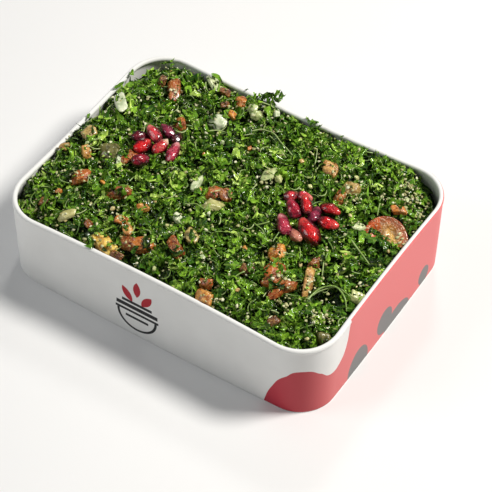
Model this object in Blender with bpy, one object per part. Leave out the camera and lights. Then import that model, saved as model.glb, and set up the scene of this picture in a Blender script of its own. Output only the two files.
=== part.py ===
"""A tabbouleh salad in its rectangular paper bowl.

Metres, +Z up. The origin is the middle of the bowl's base, where it rests.
+X runs along the long side and -Y points to the front.
The nodes are the bowl, the salad heaped in it, 18 pomegranate arils and one tomato wedge.
"""
import math

import bmesh
import bpy
from mathutils import Matrix, Vector, noise
from mathutils.bvhtree import BVHTree

MM = 0.001
GAP = 0.3 * MM                  # space kept between neighbouring pieces

# The bowl: a rounded rectangle that widens from its base to its rim
RIM_LENGTH = 180.0 * MM
RIM_WIDTH = 135.6 * MM
RIM_CORNER = 23.0 * MM
RIM_PINCH = (2.8 * MM, 1.4 * MM)        # long and short sides bend in by this at the rim
BASE_LENGTH = 177.2 * MM
BASE_WIDTH = 130.0 * MM
BASE_CORNER = 18.0 * MM
BASE_PINCH = (-1.3 * MM, -0.7 * MM)     # and swell out by this at the base
HEIGHT = 45.7 * MM
WALL = 0.8 * MM
FLOOR = 0.8 * MM
SKIRT_DEPTH = 3.0 * MM                  # the base panel is set up inside the folded skirt
SKIRT_WIDTH = 1.6 * MM
FOOT_BEVEL = 0.4 * MM
FLOOR_FILLET = 3.0 * MM
BEAD_RADIUS = 1.3 * MM                  # the rolled rim
BEAD_INSET = 1.0 * MM                   # from the outer wall to the middle of the roll
BEAD_STEPS = 8
CORNER_STEPS = 8
LONG_STEPS = 6
SHORT_STEPS = 5

# The heap of salad, measured against the rim
EDGE_LEVEL = -4.6 * MM
CROWN_LEVEL = 3.2 * MM
SHOULDER = 19.0 * MM                    # how far in from the wall the heap climbs
LUMPS = ((15.0 * MM, 1.5 * MM, 3.1), (7.5 * MM, 0.9 * MM, 8.7))     # size, height, seed
# Dips and mounds: place, radius, height
SWELLS = (
    (Vector((84.0, 57.0)) * MM, 15.5 * MM, -9.5 * MM),
    (Vector((-84.0, 62.0)) * MM, 17.0 * MM, -2.6 * MM),
    (Vector((84.0, -60.0)) * MM, 15.0 * MM, -2.2 * MM),
    (Vector((-86.0, -10.0)) * MM, 16.0 * MM, 2.6 * MM),
    (Vector((-17.0, 58.0)) * MM, 7.0 * MM, 4.2 * MM),
    (Vector((72.0, -30.0)) * MM, 6.0 * MM, -4.0 * MM),
    (Vector((62.0, 62.0)) * MM, 12.0 * MM, 2.4 * MM),
)
GRID_STEP = 5.4 * MM
FREE_TOP = HEIGHT + 30.0 * MM           # how far up the space over the bowl is taken

# Pomegranate arils: place, heading and nose-up tilt in degrees, length, width, extra lift
ARIL_PLACES = (
    (-54.0, 4.6, 41, -8, 8.6, 6.2, 0.0),
    (-45.8, 15.0, 160, 5, 8.6, 6.2, 0.0),
    (-38.8, 14.0, 100, -14, 7.4, 5.4, 0.0),
    (-49.4, -0.8, 70, 6, 8.4, 6.8, 0.0),
    (-44.6, -9.0, 57, -6, 8.2, 6.4, 0.0),
    (-35.4, 5.0, 99, 8, 10.6, 5.8, 0.0),
    (-42.2, 4.5, 78, 16, 9.2, 6.2, 0.0),
    (-48.4, 7.6, 152, 12, 9.2, 6.0, 0.0),
    (28.4, 11.4, 67, -10, 7.2, 5.6, 0.0),
    (34.2, 13.8, 3, 4, 6.8, 5.4, 0.0),
    (43.6, 7.2, 105, -4, 9.4, 5.8, 0.5),
    (43.0, -8.8, 144, -12, 8.6, 5.8, 0.0),
    (35.0, -6.6, 137, 4, 11.0, 6.6, 0.0),
    (48.2, 14.0, 2, 6, 9.4, 6.4, 0.8),
    (52.0, 5.2, 9, 8, 9.6, 6.8, 0.0),
    (33.4, 4.6, 145, 10, 9.4, 6.8, 0.0),
    (38.3, 8.2, 132, 14, 8.8, 5.4, 0.0),
    (47.6, -4.6, 151, 10, 13.4, 8.8, 0.0),
)
ARIL_SINK = 0.22                        # share of an aril's width that lies under the surface
ARIL_DEPTH = 0.88                       # height of its section over its width
ARIL_TAPER = 0.34                       # how much narrower the pointed end is
ARIL_SEGMENTS = 8
ARIL_RINGS = 7
SETTLE_STEP = 0.25 * MM
SEAT_CLEARANCE = 0.35 * MM

# The wedge cut from a small tomato
WEDGE_PLACE = Vector((76.0, 16.4, 40.8)) * MM      # middle of its core edge
WEDGE_HALF_LENGTH = 11.8 * MM
WEDGE_RADIUS = 13.6 * MM
WEDGE_HALF_ANGLE = math.radians(21)
WEDGE_HEADING = math.radians(16)
WEDGE_TILT = math.radians(9)
WEDGE_SEGMENTS = 20
WEDGE_RINGS = 12


def clear_scene():
    for old in list(bpy.data.objects):
        bpy.data.objects.remove(old, do_unlink=True)


def make_collection(name):
    collection = bpy.data.collections.new(name)
    bpy.context.scene.collection.children.link(collection)
    return collection


def make_material(name, colour, roughness):
    material = bpy.data.materials.new(name)
    material.use_nodes = True
    shader = material.node_tree.nodes["Principled BSDF"]
    shader.inputs["Base Color"].default_value = (*colour, 1.0)
    shader.inputs["Roughness"].default_value = roughness
    shader.inputs["Metallic"].default_value = 0.0
    return material


def make_object(name, bm, collection, material=None, smooth_angle=35):
    bmesh.ops.recalc_face_normals(bm, faces=bm.faces[:])
    mesh = bpy.data.meshes.new(name)
    bm.to_mesh(mesh)
    bm.free()
    mesh.shade_smooth()
    mesh.set_sharp_from_angle(angle=math.radians(smooth_angle))
    if material:
        mesh.materials.append(material)
    made = bpy.data.objects.new(name, mesh)
    collection.objects.link(made)
    return made


# ---------------------------------------------------------------- the bowl's plan

def mix(low, high, share):
    return low + (high - low) * share


def plan_at(z, inset):
    """Length, width, corner radius and side bends of the wall at height z, moved in by inset."""
    share = min(max(z / HEIGHT, 0.0), 1.0)
    length = mix(BASE_LENGTH, RIM_LENGTH, share) - 2 * inset
    width = mix(BASE_WIDTH, RIM_WIDTH, share) - 2 * inset
    corner = mix(BASE_CORNER, RIM_CORNER, share) - inset
    pinch = [mix(base, rim, share) for base, rim in zip(BASE_PINCH, RIM_PINCH)]
    return length, width, max(corner, 1.0 * MM), pinch


def rounded_outline(length, width, corner):
    """Points round a rounded rectangle, with its straight sides divided."""
    half_x = length / 2 - corner
    half_y = width / 2 - corner
    points = []
    corners = ((half_x, half_y, 0), (-half_x, half_y, 90), (-half_x, -half_y, 180), (half_x, -half_y, 270))
    for index, (x, y, start) in enumerate(corners):
        for step in range(CORNER_STEPS + 1):
            angle = math.radians(start + 90 * step / CORNER_STEPS)
            points.append(Vector((x + corner * math.cos(angle), y + corner * math.sin(angle))))
        next_x, next_y, next_start = corners[(index + 1) % 4]
        turn = math.radians(next_start)
        side_end = Vector((next_x + corner * math.cos(turn), next_y + corner * math.sin(turn)))
        side_start = points[-1].copy()
        side_steps = LONG_STEPS if index % 2 == 0 else SHORT_STEPS
        for step in range(1, side_steps):
            points.append(side_start.lerp(side_end, step / side_steps))
    return points


def ring_at(z, inset):
    """One closed ring of the wall's plan at height z."""
    length, width, corner, (long_pinch, short_pinch) = plan_at(z, inset)
    ring = []
    for point in rounded_outline(length, width, corner):
        along = 2 * point.x / length
        across = 2 * point.y / width
        x = point.x - short_pinch * along * (1 - across ** 2)
        y = point.y - long_pinch * across * (1 - along ** 2)
        ring.append(Vector((x, y, z)))
    return ring


def loft(profile):
    """A closed body through the rings that (inset, z) pairs name, with both ends capped."""
    bm = bmesh.new()
    rings = [[bm.verts.new(point) for point in ring_at(z, inset)] for inset, z in profile]
    count = len(rings[0])
    for lower, upper in zip(rings, rings[1:]):
        for i in range(count):
            j = (i + 1) % count
            bm.faces.new((lower[i], lower[j], upper[j], upper[i]))
    bm.faces.new(rings[0])
    bm.faces.new(rings[-1])
    return bm


def arc(centre_inset, centre_z, radius, start, end, steps):
    """Profile points round a circle; 0 degrees looks outward and 90 looks up."""
    points = []
    for step in range(steps + 1):
        angle = math.radians(mix(start, end, step / steps))
        points.append((centre_inset - radius * math.cos(angle), centre_z + radius * math.sin(angle)))
    return points


def make_bowl(collection):
    bead_z = HEIGHT - BEAD_RADIUS
    bead_start = -math.degrees(math.acos(BEAD_INSET / BEAD_RADIUS))
    bead_end = 360 - math.degrees(math.acos((BEAD_INSET - WALL) / BEAD_RADIUS))
    floor_z = SKIRT_DEPTH + FLOOR
    profile = [
        (SKIRT_WIDTH, SKIRT_DEPTH),
        (SKIRT_WIDTH, 0.0),
        (FOOT_BEVEL, 0.0),
        (0.0, FOOT_BEVEL),
        (0.0, HEIGHT / 2),
    ]
    profile += arc(BEAD_INSET, bead_z, BEAD_RADIUS, bead_start, bead_end, BEAD_STEPS)
    profile.append((WALL, HEIGHT / 2))
    fillet = arc(WALL + FLOOR_FILLET, floor_z + FLOOR_FILLET, FLOOR_FILLET, 0, -90, 3)
    profile += fillet
    paper = make_material("white_paper", (0.86, 0.86, 0.84), 0.45)
    return make_object("bowl", loft(profile), collection, paper)


# ---------------------------------------------------------------- the heap of salad

def depth_inside(x, y):
    """Distance in from the bowl's inner wall."""
    length, width, corner, _ = plan_at(HEIGHT, WALL)
    dx = abs(x) - (length / 2 - corner)
    dy = abs(y) - (width / 2 - corner)
    outside = math.hypot(max(dx, 0.0), max(dy, 0.0)) + min(max(dx, dy), 0.0)
    return corner - outside


def heap_height(x, y):
    """Height of the salad's surface over the ground."""
    share = min(max(depth_inside(x, y) / SHOULDER, 0.0), 1.0)
    rise = math.sin(share * math.pi / 2)
    z = HEIGHT + mix(EDGE_LEVEL, CROWN_LEVEL, rise)
    here = Vector((x, y))
    for place, radius, height in SWELLS:
        z += height * math.exp(-((here - place).length / radius) ** 2)
    for size, height, seed in LUMPS:
        z += height * noise.noise(Vector((x / size, y / size, seed)))
    return z


def make_heap_block(collection):
    """A block whose top is the heap's surface, wider than the bowl."""
    bm = bmesh.new()
    columns = math.ceil((RIM_LENGTH + 2 * GRID_STEP) / GRID_STEP)
    rows = math.ceil((RIM_WIDTH + 2 * GRID_STEP) / GRID_STEP)
    bmesh.ops.create_grid(bm, x_segments=columns, y_segments=rows, size=0.5)
    bmesh.ops.scale(bm, verts=bm.verts, vec=(columns * GRID_STEP, rows * GRID_STEP, 1))
    top = bm.faces[:]
    bottom = bmesh.ops.extrude_face_region(bm, geom=top)["geom"]
    bottom_verts = {item for item in bottom if isinstance(item, bmesh.types.BMVert)}
    for vert in bm.verts:
        vert.co.z = -SKIRT_DEPTH if vert in bottom_verts else heap_height(vert.co.x, vert.co.y)
    return make_object("heap_block", bm, collection)


def make_inner_space(collection):
    """What the bowl leaves free, a gap in from its floor, wall and rolled rim."""
    clear = BEAD_RADIUS + GAP
    bead_z = HEIGHT - BEAD_RADIUS
    wall_inset = WALL + GAP
    floor_z = SKIRT_DEPTH + FLOOR + GAP
    under_bead = -math.degrees(math.acos((wall_inset - BEAD_INSET) / clear))
    fillet = arc(wall_inset + FLOOR_FILLET, floor_z + FLOOR_FILLET, FLOOR_FILLET, -90, 0, 3)
    bead = arc(BEAD_INSET, bead_z, clear, 180 - under_bead, 180, 3)
    profile = fillet + [(wall_inset, HEIGHT / 2)] + bead + [(BEAD_INSET + clear, FREE_TOP)]
    return make_object("inner_space", loft(profile), collection)


def add_boolean(target, operation, cutter):
    modifier = target.modifiers.new(cutter.name, "BOOLEAN")
    modifier.operation = operation
    modifier.solver = "EXACT"
    modifier.object = cutter


def hide_cutter(cutter):
    cutter.hide_render = True
    cutter.display_type = "WIRE"


def separate_bodies(bm):
    """The mesh's separate bodies, as sets of vertices."""
    left = set(bm.verts)
    bodies = []
    while left:
        body = set()
        front = [left.pop()]
        while front:
            vert = front.pop()
            body.add(vert)
            for edge in vert.link_edges:
                other = edge.other_vert(vert)
                if other in left:
                    left.remove(other)
                    front.append(other)
        bodies.append(body)
    return bodies


def make_salad(collection, cutters, seats):
    """The heap inside the bowl, with a seat cut for each topping that is sunk in it."""
    block = make_heap_block(cutters)
    space = make_inner_space(cutters)
    add_boolean(space, "INTERSECT", block)
    for seat in seats:
        add_boolean(space, "DIFFERENCE", seat)
    bpy.context.view_layer.update()
    evaluated = space.evaluated_get(bpy.context.evaluated_depsgraph_get())
    bm = bmesh.new()
    bm.from_mesh(evaluated.to_mesh())
    bodies = sorted(separate_bodies(bm), key=len)
    crumbs = [vert for body in bodies[:-1] for vert in body]
    bmesh.ops.delete(bm, geom=crumbs, context="VERTS")
    bmesh.ops.triangulate(bm, faces=bm.faces[:])
    green = make_material("chopped_parsley", (0.07, 0.16, 0.02), 0.5)
    salad = make_object("salad", bm, collection, green, smooth_angle=60)
    for cutter in (block, space, *seats):
        hide_cutter(cutter)
    return salad


# ---------------------------------------------------------------- pomegranate arils

def aril_mesh(length, width, margin=0.0):
    """A juicy seed: blunt at -X, drawn in to a point at +X."""
    bm = bmesh.new()
    bmesh.ops.create_uvsphere(bm, u_segments=ARIL_SEGMENTS, v_segments=ARIL_RINGS, radius=1.0)
    bmesh.ops.rotate(bm, verts=bm.verts, matrix=Matrix.Rotation(math.pi / 2, 3, "Y"))
    for vert in bm.verts:
        x = vert.co.x
        narrow = 1 - ARIL_TAPER * ((x + 1) / 2) ** 2
        vert.co.x = x * (length / 2 + margin)
        vert.co.y *= (width / 2) * narrow + margin
        vert.co.z *= (width / 2) * narrow * ARIL_DEPTH + margin
    return bm


def placed(bm, matrix):
    bmesh.ops.transform(bm, matrix=matrix, verts=bm.verts)
    return bm


def touches(bm, trees):
    tree = BVHTree.FromBMesh(bm)
    return any(tree.overlap(other) for other in trees)


def settle_arils():
    """Each aril's matrix: it lies in the heap, raised until it clears those under it."""
    trees = []
    matrices = []
    for x, y, heading, tilt, length, width, lift in ARIL_PLACES:
        turn = Matrix.Rotation(math.radians(heading), 4, "Z") @ Matrix.Rotation(math.radians(-tilt), 4, "Y")
        z = heap_height(x * MM, y * MM) + ((0.5 - ARIL_SINK) * width * ARIL_DEPTH + lift) * MM
        while True:
            matrix = Matrix.Translation((x * MM, y * MM, z)) @ turn
            trial = placed(aril_mesh(length * MM, width * MM, GAP / 2), matrix)
            if not touches(trial, trees):
                break
            trial.free()
            z += SETTLE_STEP
        trees.append(BVHTree.FromBMesh(trial))
        trial.free()
        matrices.append(matrix)
    return matrices


def make_arils(collection, cutters):
    """The arils, and for each a slightly larger cutter that makes its seat in the salad."""
    red = make_material("pomegranate", (0.36, 0.01, 0.02), 0.2)
    seats = []
    for index, (place, matrix) in enumerate(zip(ARIL_PLACES, settle_arils()), start=1):
        length, width = place[4] * MM, place[5] * MM
        aril = make_object(f"aril_{index:02d}", aril_mesh(length, width), collection, red, 60)
        aril.matrix_world = matrix
        seat = make_object(f"aril_seat_{index:02d}", aril_mesh(length, width, SEAT_CLEARANCE), cutters)
        seat.matrix_world = matrix
        seats.append(seat)
    return seats


# ---------------------------------------------------------------- tomato wedge

def wedge_mesh(margin=0.0):
    """A segment of a flattened ball, its core edge along X and its skin towards +Y."""
    bm = bmesh.new()
    bmesh.ops.create_uvsphere(bm, u_segments=WEDGE_SEGMENTS, v_segments=WEDGE_RINGS, radius=1.0)
    bmesh.ops.rotate(bm, verts=bm.verts, matrix=Matrix.Rotation(math.pi / 2, 3, "Y"))
    size = (WEDGE_HALF_LENGTH + margin, WEDGE_RADIUS + margin, WEDGE_RADIUS + margin)
    bmesh.ops.scale(bm, verts=bm.verts, vec=size)
    for side in (1, -1):
        normal = Vector((0, -math.sin(WEDGE_HALF_ANGLE), side * math.cos(WEDGE_HALF_ANGLE)))
        cut = bmesh.ops.bisect_plane(
            bm, geom=bm.verts[:] + bm.edges[:] + bm.faces[:], dist=1e-6,
            plane_co=normal * margin, plane_no=normal, clear_outer=True)
        edges = [item for item in cut["geom_cut"] if isinstance(item, bmesh.types.BMEdge)]
        bmesh.ops.contextual_create(bm, geom=edges)
    bmesh.ops.triangulate(bm, faces=bm.faces[:])
    return bm


def make_wedge(collection, cutters):
    """The tomato wedge and the cutter that makes its seat."""
    tomato = make_material("tomato", (0.55, 0.12, 0.04), 0.35)
    turn = Matrix.Rotation(WEDGE_HEADING, 4, "Z") @ Matrix.Rotation(WEDGE_TILT, 4, "X")
    matrix = Matrix.Translation(WEDGE_PLACE) @ turn
    wedge = make_object("tomato_wedge", wedge_mesh(), collection, tomato)
    wedge.matrix_world = matrix
    seat = make_object("wedge_seat", wedge_mesh(SEAT_CLEARANCE), cutters)
    seat.matrix_world = matrix
    return seat


def main():
    clear_scene()
    parts = make_collection("tabbouleh_salad")
    cutters = make_collection("cutters")
    make_bowl(parts)
    seats = make_arils(parts, cutters)
    seats.append(make_wedge(parts, cutters))
    make_salad(parts, cutters, seats)


main()
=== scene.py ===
"""The looks of the tabbouleh salad in its paper bowl.

The heap is chopped parsley, stems, bulgur, tomato and onion strewn over a core painted dark as the shade between them.
Shapes are worked out in millimetres, and add_mesh turns them into metres.
"""
import math

import bpy
import numpy as np
from mathutils import Matrix, Vector, noise
from mathutils.bvhtree import BVHTree
from mathutils.kdtree import KDTree


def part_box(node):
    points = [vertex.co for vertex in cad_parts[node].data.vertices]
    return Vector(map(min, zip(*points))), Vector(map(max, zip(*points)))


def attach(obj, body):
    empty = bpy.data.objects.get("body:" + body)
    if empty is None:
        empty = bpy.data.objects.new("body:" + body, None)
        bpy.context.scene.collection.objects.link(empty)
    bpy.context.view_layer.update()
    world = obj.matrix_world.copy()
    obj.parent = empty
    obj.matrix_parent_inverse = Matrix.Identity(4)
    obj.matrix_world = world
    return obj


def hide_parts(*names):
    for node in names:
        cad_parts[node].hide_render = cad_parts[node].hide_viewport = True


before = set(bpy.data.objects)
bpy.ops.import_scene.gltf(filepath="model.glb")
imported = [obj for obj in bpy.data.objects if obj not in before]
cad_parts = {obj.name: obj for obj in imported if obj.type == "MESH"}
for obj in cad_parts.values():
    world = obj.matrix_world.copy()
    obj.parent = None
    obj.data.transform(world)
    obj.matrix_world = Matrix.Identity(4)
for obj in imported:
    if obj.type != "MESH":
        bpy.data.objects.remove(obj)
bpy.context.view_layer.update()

MM = 0.001
TAU = 2 * math.pi


def box_mm(node):
    low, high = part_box(node)
    return np.array(low) / MM, np.array(high) / MM


# The bowl's plan at its base and its rim: length, width, corner radius, and how far
# the long and the short sides bend inward at their middles
HEIGHT = box_mm("bowl")[1][2]
BASE_PLAN = np.array((177.2, 130.0, 18.0, -1.3, -0.7))
RIM_PLAN = np.array((180.0, 135.6, 23.0, 2.8, 1.4))
WALL = 0.8
BEAD_RADIUS = 1.3
BEAD_INSET = 1.0
FLOOR_TOP = 3.8
SKIRT_DEPTH = 3.0
SKIRT_WIDTH = 1.6

ARILS = sorted(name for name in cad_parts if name.startswith("aril_"))


# ---------------------------------------------------------------- meshes and materials

def add_mesh(name, verts, faces, material=None, smooth=True, uv=None, sharp=None):
    """A mesh object from arrays in millimetres; uv has one row a face corner."""
    faces = [tuple(face) for face in faces] if not isinstance(faces, np.ndarray) else faces
    mesh = bpy.data.meshes.new(name)
    if isinstance(faces, np.ndarray):
        count, sides = faces.shape
        mesh.vertices.add(len(verts))
        mesh.vertices.foreach_set("co", (np.asarray(verts, np.float32) * MM).ravel())
        mesh.loops.add(count * sides)
        mesh.loops.foreach_set("vertex_index", faces.astype(np.int32).ravel())
        mesh.polygons.add(count)
        mesh.polygons.foreach_set("loop_start", np.arange(0, count * sides, sides, dtype=np.int32))
        mesh.update(calc_edges=True)
    else:
        mesh.from_pydata([tuple(v) for v in np.asarray(verts) * MM], [], faces)
        mesh.update()
    mesh.validate()
    mesh.polygons.foreach_set("use_smooth", np.full(len(mesh.polygons), smooth))
    if uv is not None:
        layer = mesh.uv_layers.new(name="OFBake")
        layer.data.foreach_set("uv", np.asarray(uv, np.float32).ravel())
    if sharp is not None:
        ends = np.zeros(len(mesh.edges) * 2, np.int32)
        mesh.edges.foreach_get("vertices", ends)
        edge_sharp = np.asarray(sharp)[ends].reshape(-1, 2).all(1)
        attribute = mesh.attributes.new("sharp_edge", "BOOLEAN", "EDGE")
        attribute.data.foreach_set("value", edge_sharp)
    if material:
        for one in (material if isinstance(material, (list, tuple)) else [material]):
            mesh.materials.append(one)
    made = bpy.data.objects.new(name, mesh)
    bpy.context.scene.collection.objects.link(made)
    return made


class Nodes:
    """A short way to write a material's node graph."""

    def __init__(self, name):
        self.material = bpy.data.materials.new(name)
        self.material.use_nodes = True
        self.tree = self.material.node_tree
        self.shader = self.tree.nodes["Principled BSDF"]

    def add(self, kind, **settings):
        node = self.tree.nodes.new(kind)
        for key, value in settings.items():
            setattr(node, key, value)
        return node

    def put(self, value, socket):
        """Links a socket to a socket, or sets a plain value."""
        if isinstance(value, bpy.types.NodeSocket):
            self.tree.links.new(value, socket)
        elif isinstance(value, (tuple, list)) and len(value) == 3 and socket.type == "RGBA":
            socket.default_value = (*value, 1.0)
        else:
            socket.default_value = value

    def math(self, operation, a, b=0.0, c=0.0, clamp=False):
        node = self.add("ShaderNodeMath", operation=operation, use_clamp=clamp)
        for value, socket in zip((a, b, c), node.inputs):
            self.put(value, socket)
        return node.outputs[0]

    def band(self, value, low, high, to_low=0.0, to_high=1.0):
        """value mapped smoothly from low..high to to_low..to_high."""
        node = self.add("ShaderNodeMapRange", interpolation_type="SMOOTHSTEP")
        for entry, socket in zip((value, low, high, to_low, to_high), node.inputs):
            self.put(entry, socket)
        return node.outputs[0]

    def mix(self, share, a, b, blend="MIX"):
        node = self.add("ShaderNodeMix", data_type="RGBA", blend_type=blend)
        self.put(share, node.inputs[0])
        self.put(a, node.inputs[6])
        self.put(b, node.inputs[7])
        return node.outputs[2]

    def ramp(self, value, stops):
        node = self.add("ShaderNodeValToRGB")
        marks = node.color_ramp.elements
        while len(marks) < len(stops):
            marks.new(0.5)
        for mark, (place, colour) in zip(marks, stops):
            mark.position = place
            mark.color = (*colour, 1.0)
        self.put(value, node.inputs[0])
        return node.outputs[0]

    def noise(self, scale, detail=2.0, vector=None, rough=0.5):
        node = self.add("ShaderNodeTexNoise")
        node.inputs["Scale"].default_value = scale
        node.inputs["Detail"].default_value = detail
        node.inputs["Roughness"].default_value = rough
        if vector is not None:
            self.put(vector, node.inputs["Vector"])
        return node.outputs["Fac"]

    def split(self, vector):
        node = self.add("ShaderNodeSeparateXYZ")
        self.put(vector, node.inputs[0])
        return node.outputs

    def join(self, x, y, z):
        node = self.add("ShaderNodeCombineXYZ")
        for value, socket in zip((x, y, z), node.inputs):
            self.put(value, socket)
        return node.outputs[0]

    def place(self):
        return self.add("ShaderNodeTexCoord").outputs["Object"]

    def bump(self, height, strength, distance):
        node = self.add("ShaderNodeBump")
        node.inputs["Strength"].default_value = strength
        node.inputs["Distance"].default_value = distance
        self.put(height, node.inputs["Height"])
        self.put(node.outputs[0], self.shader.inputs["Normal"])

    def finish(self, colour, roughness, **others):
        self.put(colour, self.shader.inputs["Base Color"])
        self.put(roughness, self.shader.inputs["Roughness"])
        for name, value in others.items():
            self.put(value, self.shader.inputs[name.replace("_", " ")])
        return self.material


# Scattered pieces share one small map: each takes a cell of it, whose column gives its tone
# and whose row gives a second variation. A cell's lower and upper halves are its two sides.
CELL_COLUMNS = 16
CELL_ROWS = 8


def cell_parts(nodes):
    """Tone, variation, place along, place across and side of a scattered piece."""
    uv = nodes.add("ShaderNodeUVMap", uv_map="OFBake").outputs[0]
    u, v, _ = nodes.split(uv)
    column = nodes.math("MULTIPLY", u, CELL_COLUMNS)
    row = nodes.math("MULTIPLY", v, CELL_ROWS)
    tone = nodes.math("DIVIDE", nodes.math("FLOOR", column), CELL_COLUMNS - 1)
    variation = nodes.math("DIVIDE", nodes.math("FLOOR", row), CELL_ROWS - 1)
    along = nodes.math("FRACT", column)
    half = nodes.math("MULTIPLY", nodes.math("FRACT", row), 2.0)
    side = nodes.math("FLOOR", half)
    across = nodes.math("FRACT", half)
    return tone, variation, along, across, side


# ---------------------------------------------------------------- the bowl's plan

def plan_at(z):
    share = np.clip(np.asarray(z, float) / HEIGHT, 0, 1)
    return [base + (rim - base) * share for base, rim in zip(BASE_PLAN, RIM_PLAN)]


def wall_depth(x, y, z):
    """How far in from the bowl's outer wall the points lie."""
    length, width, corner, long_pinch, short_pinch = plan_at(z)
    along = np.clip(2 * x / length, -1, 1)
    across = np.clip(2 * y / width, -1, 1)
    x = x + short_pinch * along * (1 - across ** 2)
    y = y + long_pinch * across * (1 - along ** 2)
    dx = np.abs(x) - (length / 2 - corner)
    dy = np.abs(y) - (width / 2 - corner)
    outside = np.hypot(np.maximum(dx, 0), np.maximum(dy, 0)) + np.minimum(np.maximum(dx, dy), 0)
    return corner - outside


def keep_inside(verts, air=0.15):
    """Presses points that would reach into the wall or the rolled rim back inside."""
    x, y, z = verts.T
    under_rim = HEIGHT - 2 * BEAD_RADIUS - 0.2
    need = np.where(z < under_rim, WALL, BEAD_INSET + BEAD_RADIUS) + air
    need = np.where(z > HEIGHT - 0.1, -100.0, need)
    step = 0.25
    for _ in range(2):
        depth = wall_depth(x, y, z)
        short = np.maximum(need - depth, 0)
        slope_x = (wall_depth(x + step, y, z) - wall_depth(x - step, y, z)) / (2 * step)
        slope_y = (wall_depth(x, y + step, z) - wall_depth(x, y - step, z)) / (2 * step)
        x = x + short * slope_x
        y = y + short * slope_y
    return np.stack((x, y, z), 1)


# ---------------------------------------------------------------- the heap's surface

GRID = 1.0                      # spacing of the height map
GRID_X = np.arange(-91.0, 91.5, GRID)
GRID_Y = np.arange(-69.0, 69.5, GRID)


def node_tree(*names):
    """A BVH tree of CAD nodes, in millimetres."""
    verts, faces = [], []
    for name in names:
        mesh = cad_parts[name].data
        start = len(verts)
        verts += [v.co / MM for v in mesh.vertices]
        faces += [[start + i for i in face.vertices] for face in mesh.polygons]
    return BVHTree.FromPolygons(verts, faces)


def read_heap():
    """Height of the heap over a grid, with the toppings' seats filled in."""
    salad = node_tree("salad")
    toppings = node_tree("tomato_wedge", *ARILS)
    down = Vector((0, 0, -1))
    heights = np.full((len(GRID_X), len(GRID_Y)), np.nan)
    seat = np.zeros(heights.shape, bool)
    for i, x in enumerate(GRID_X):
        for j, y in enumerate(GRID_Y):
            start = Vector((x, y, 100.0))
            hit = salad.ray_cast(start, down)[0]
            if hit:
                heights[i, j] = hit.z
            seat[i, j] = toppings.ray_cast(start, down)[0] is not None
    for _ in range(2):                  # seats reach a little past their toppings
        seat[1:-1, 1:-1] |= seat[:-2, 1:-1] | seat[2:, 1:-1] | seat[1:-1, :-2] | seat[1:-1, 2:]
    unknown = np.isnan(heights)
    heights[unknown] = np.nanmean(heights)
    heights[seat] = heights[~seat & ~unknown].mean()
    for _ in range(300):
        around = (np.roll(heights, 1, 0) + np.roll(heights, -1, 0)
                  + np.roll(heights, 1, 1) + np.roll(heights, -1, 1)) / 4
        heights[seat | unknown] = around[seat | unknown]
    return heights


def noise_map(size, seed):
    """A smooth random field over the height map's grid, about -1 to 1."""
    return np.array([[noise.noise(Vector((x / size, y / size, seed))) for y in GRID_Y] for x in GRID_X])


def sample(field, x, y):
    """Bilinear values of a grid field at points."""
    u = np.clip((x - GRID_X[0]) / GRID, 0, len(GRID_X) - 1.001)
    v = np.clip((y - GRID_Y[0]) / GRID, 0, len(GRID_Y) - 1.001)
    i, j = u.astype(int), v.astype(int)
    s, t = u - i, v - j
    return ((1 - s) * (1 - t) * field[i, j] + s * (1 - t) * field[i + 1, j]
            + (1 - s) * t * field[i, j + 1] + s * t * field[i + 1, j + 1])


HEAP = read_heap()
SLOPE_X, SLOPE_Y = np.gradient(HEAP, GRID)
HOLLOW_DEPTH = 2.6
HOLLOW_SHARE = 0.10
# Gaps between the clumps: place, radius and depth
HOLLOWS = ((74, -31, 6.0, 5.5), (69.0, -33.5, 5.0, 5), (79.0, -28.5, 5.0, 5), (-14, 22, 3.8, 2.6), (-64, 31, 4.5, 1.8), (-24, 7, 3.8, 2.2), (-61, -43, 4.5, 2.0),
           (-48, -47, 3.5, 1.6), (17, -29, 4.5, 2.0), (74, -5, 4.0, 2.2), (-4, -22, 4.5, 2.0), (-80, 26, 3.5, 2.4),
           (-80, 11, 3.5, 2.2), (-64, 46, 3.0, 2.0), (-20, -33, 4.5, 2.0), (82, 44, 6.0, 2.5), (35, -26, 3.5, 2.2),
           (-2, 26, 3.0, 1.6), (60, 3, 4.0, 1.6), (-8, -46, 3.0, 2.0), (-34, 42, 3.0, 1.8), (24, 38, 4.0, 1.4),
           (87, 12, 4.5, 3.0), (66, -12, 4.0, 3.0), (74, -17, 4.0, 2.6))
# Lower ground in front of the tomato wedge: place, radius and depth
DIPS = ((63.5, 9.0, 4.0, 2.6), (69, 9.5, 4.5, 3.2), (76, 10.0, 5.0, 3.6), (84, 12.5, 5.0, 4.6))
SWELL = noise_map(13.0, 4.7)
PATCHES = noise_map(8.0, 11.3)


def hollow_share(x, y):
    """How deep in a listed gap each point lies, 0 to 1."""
    share = np.zeros(len(x))
    for cx, cy, radius, depth in HOLLOWS:
        near = np.exp(-((x - cx) ** 2 + (y - cy) ** 2) / (0.8 * radius) ** 2)
        share = np.maximum(share, near * min(1, depth / 3))
    return share


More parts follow.
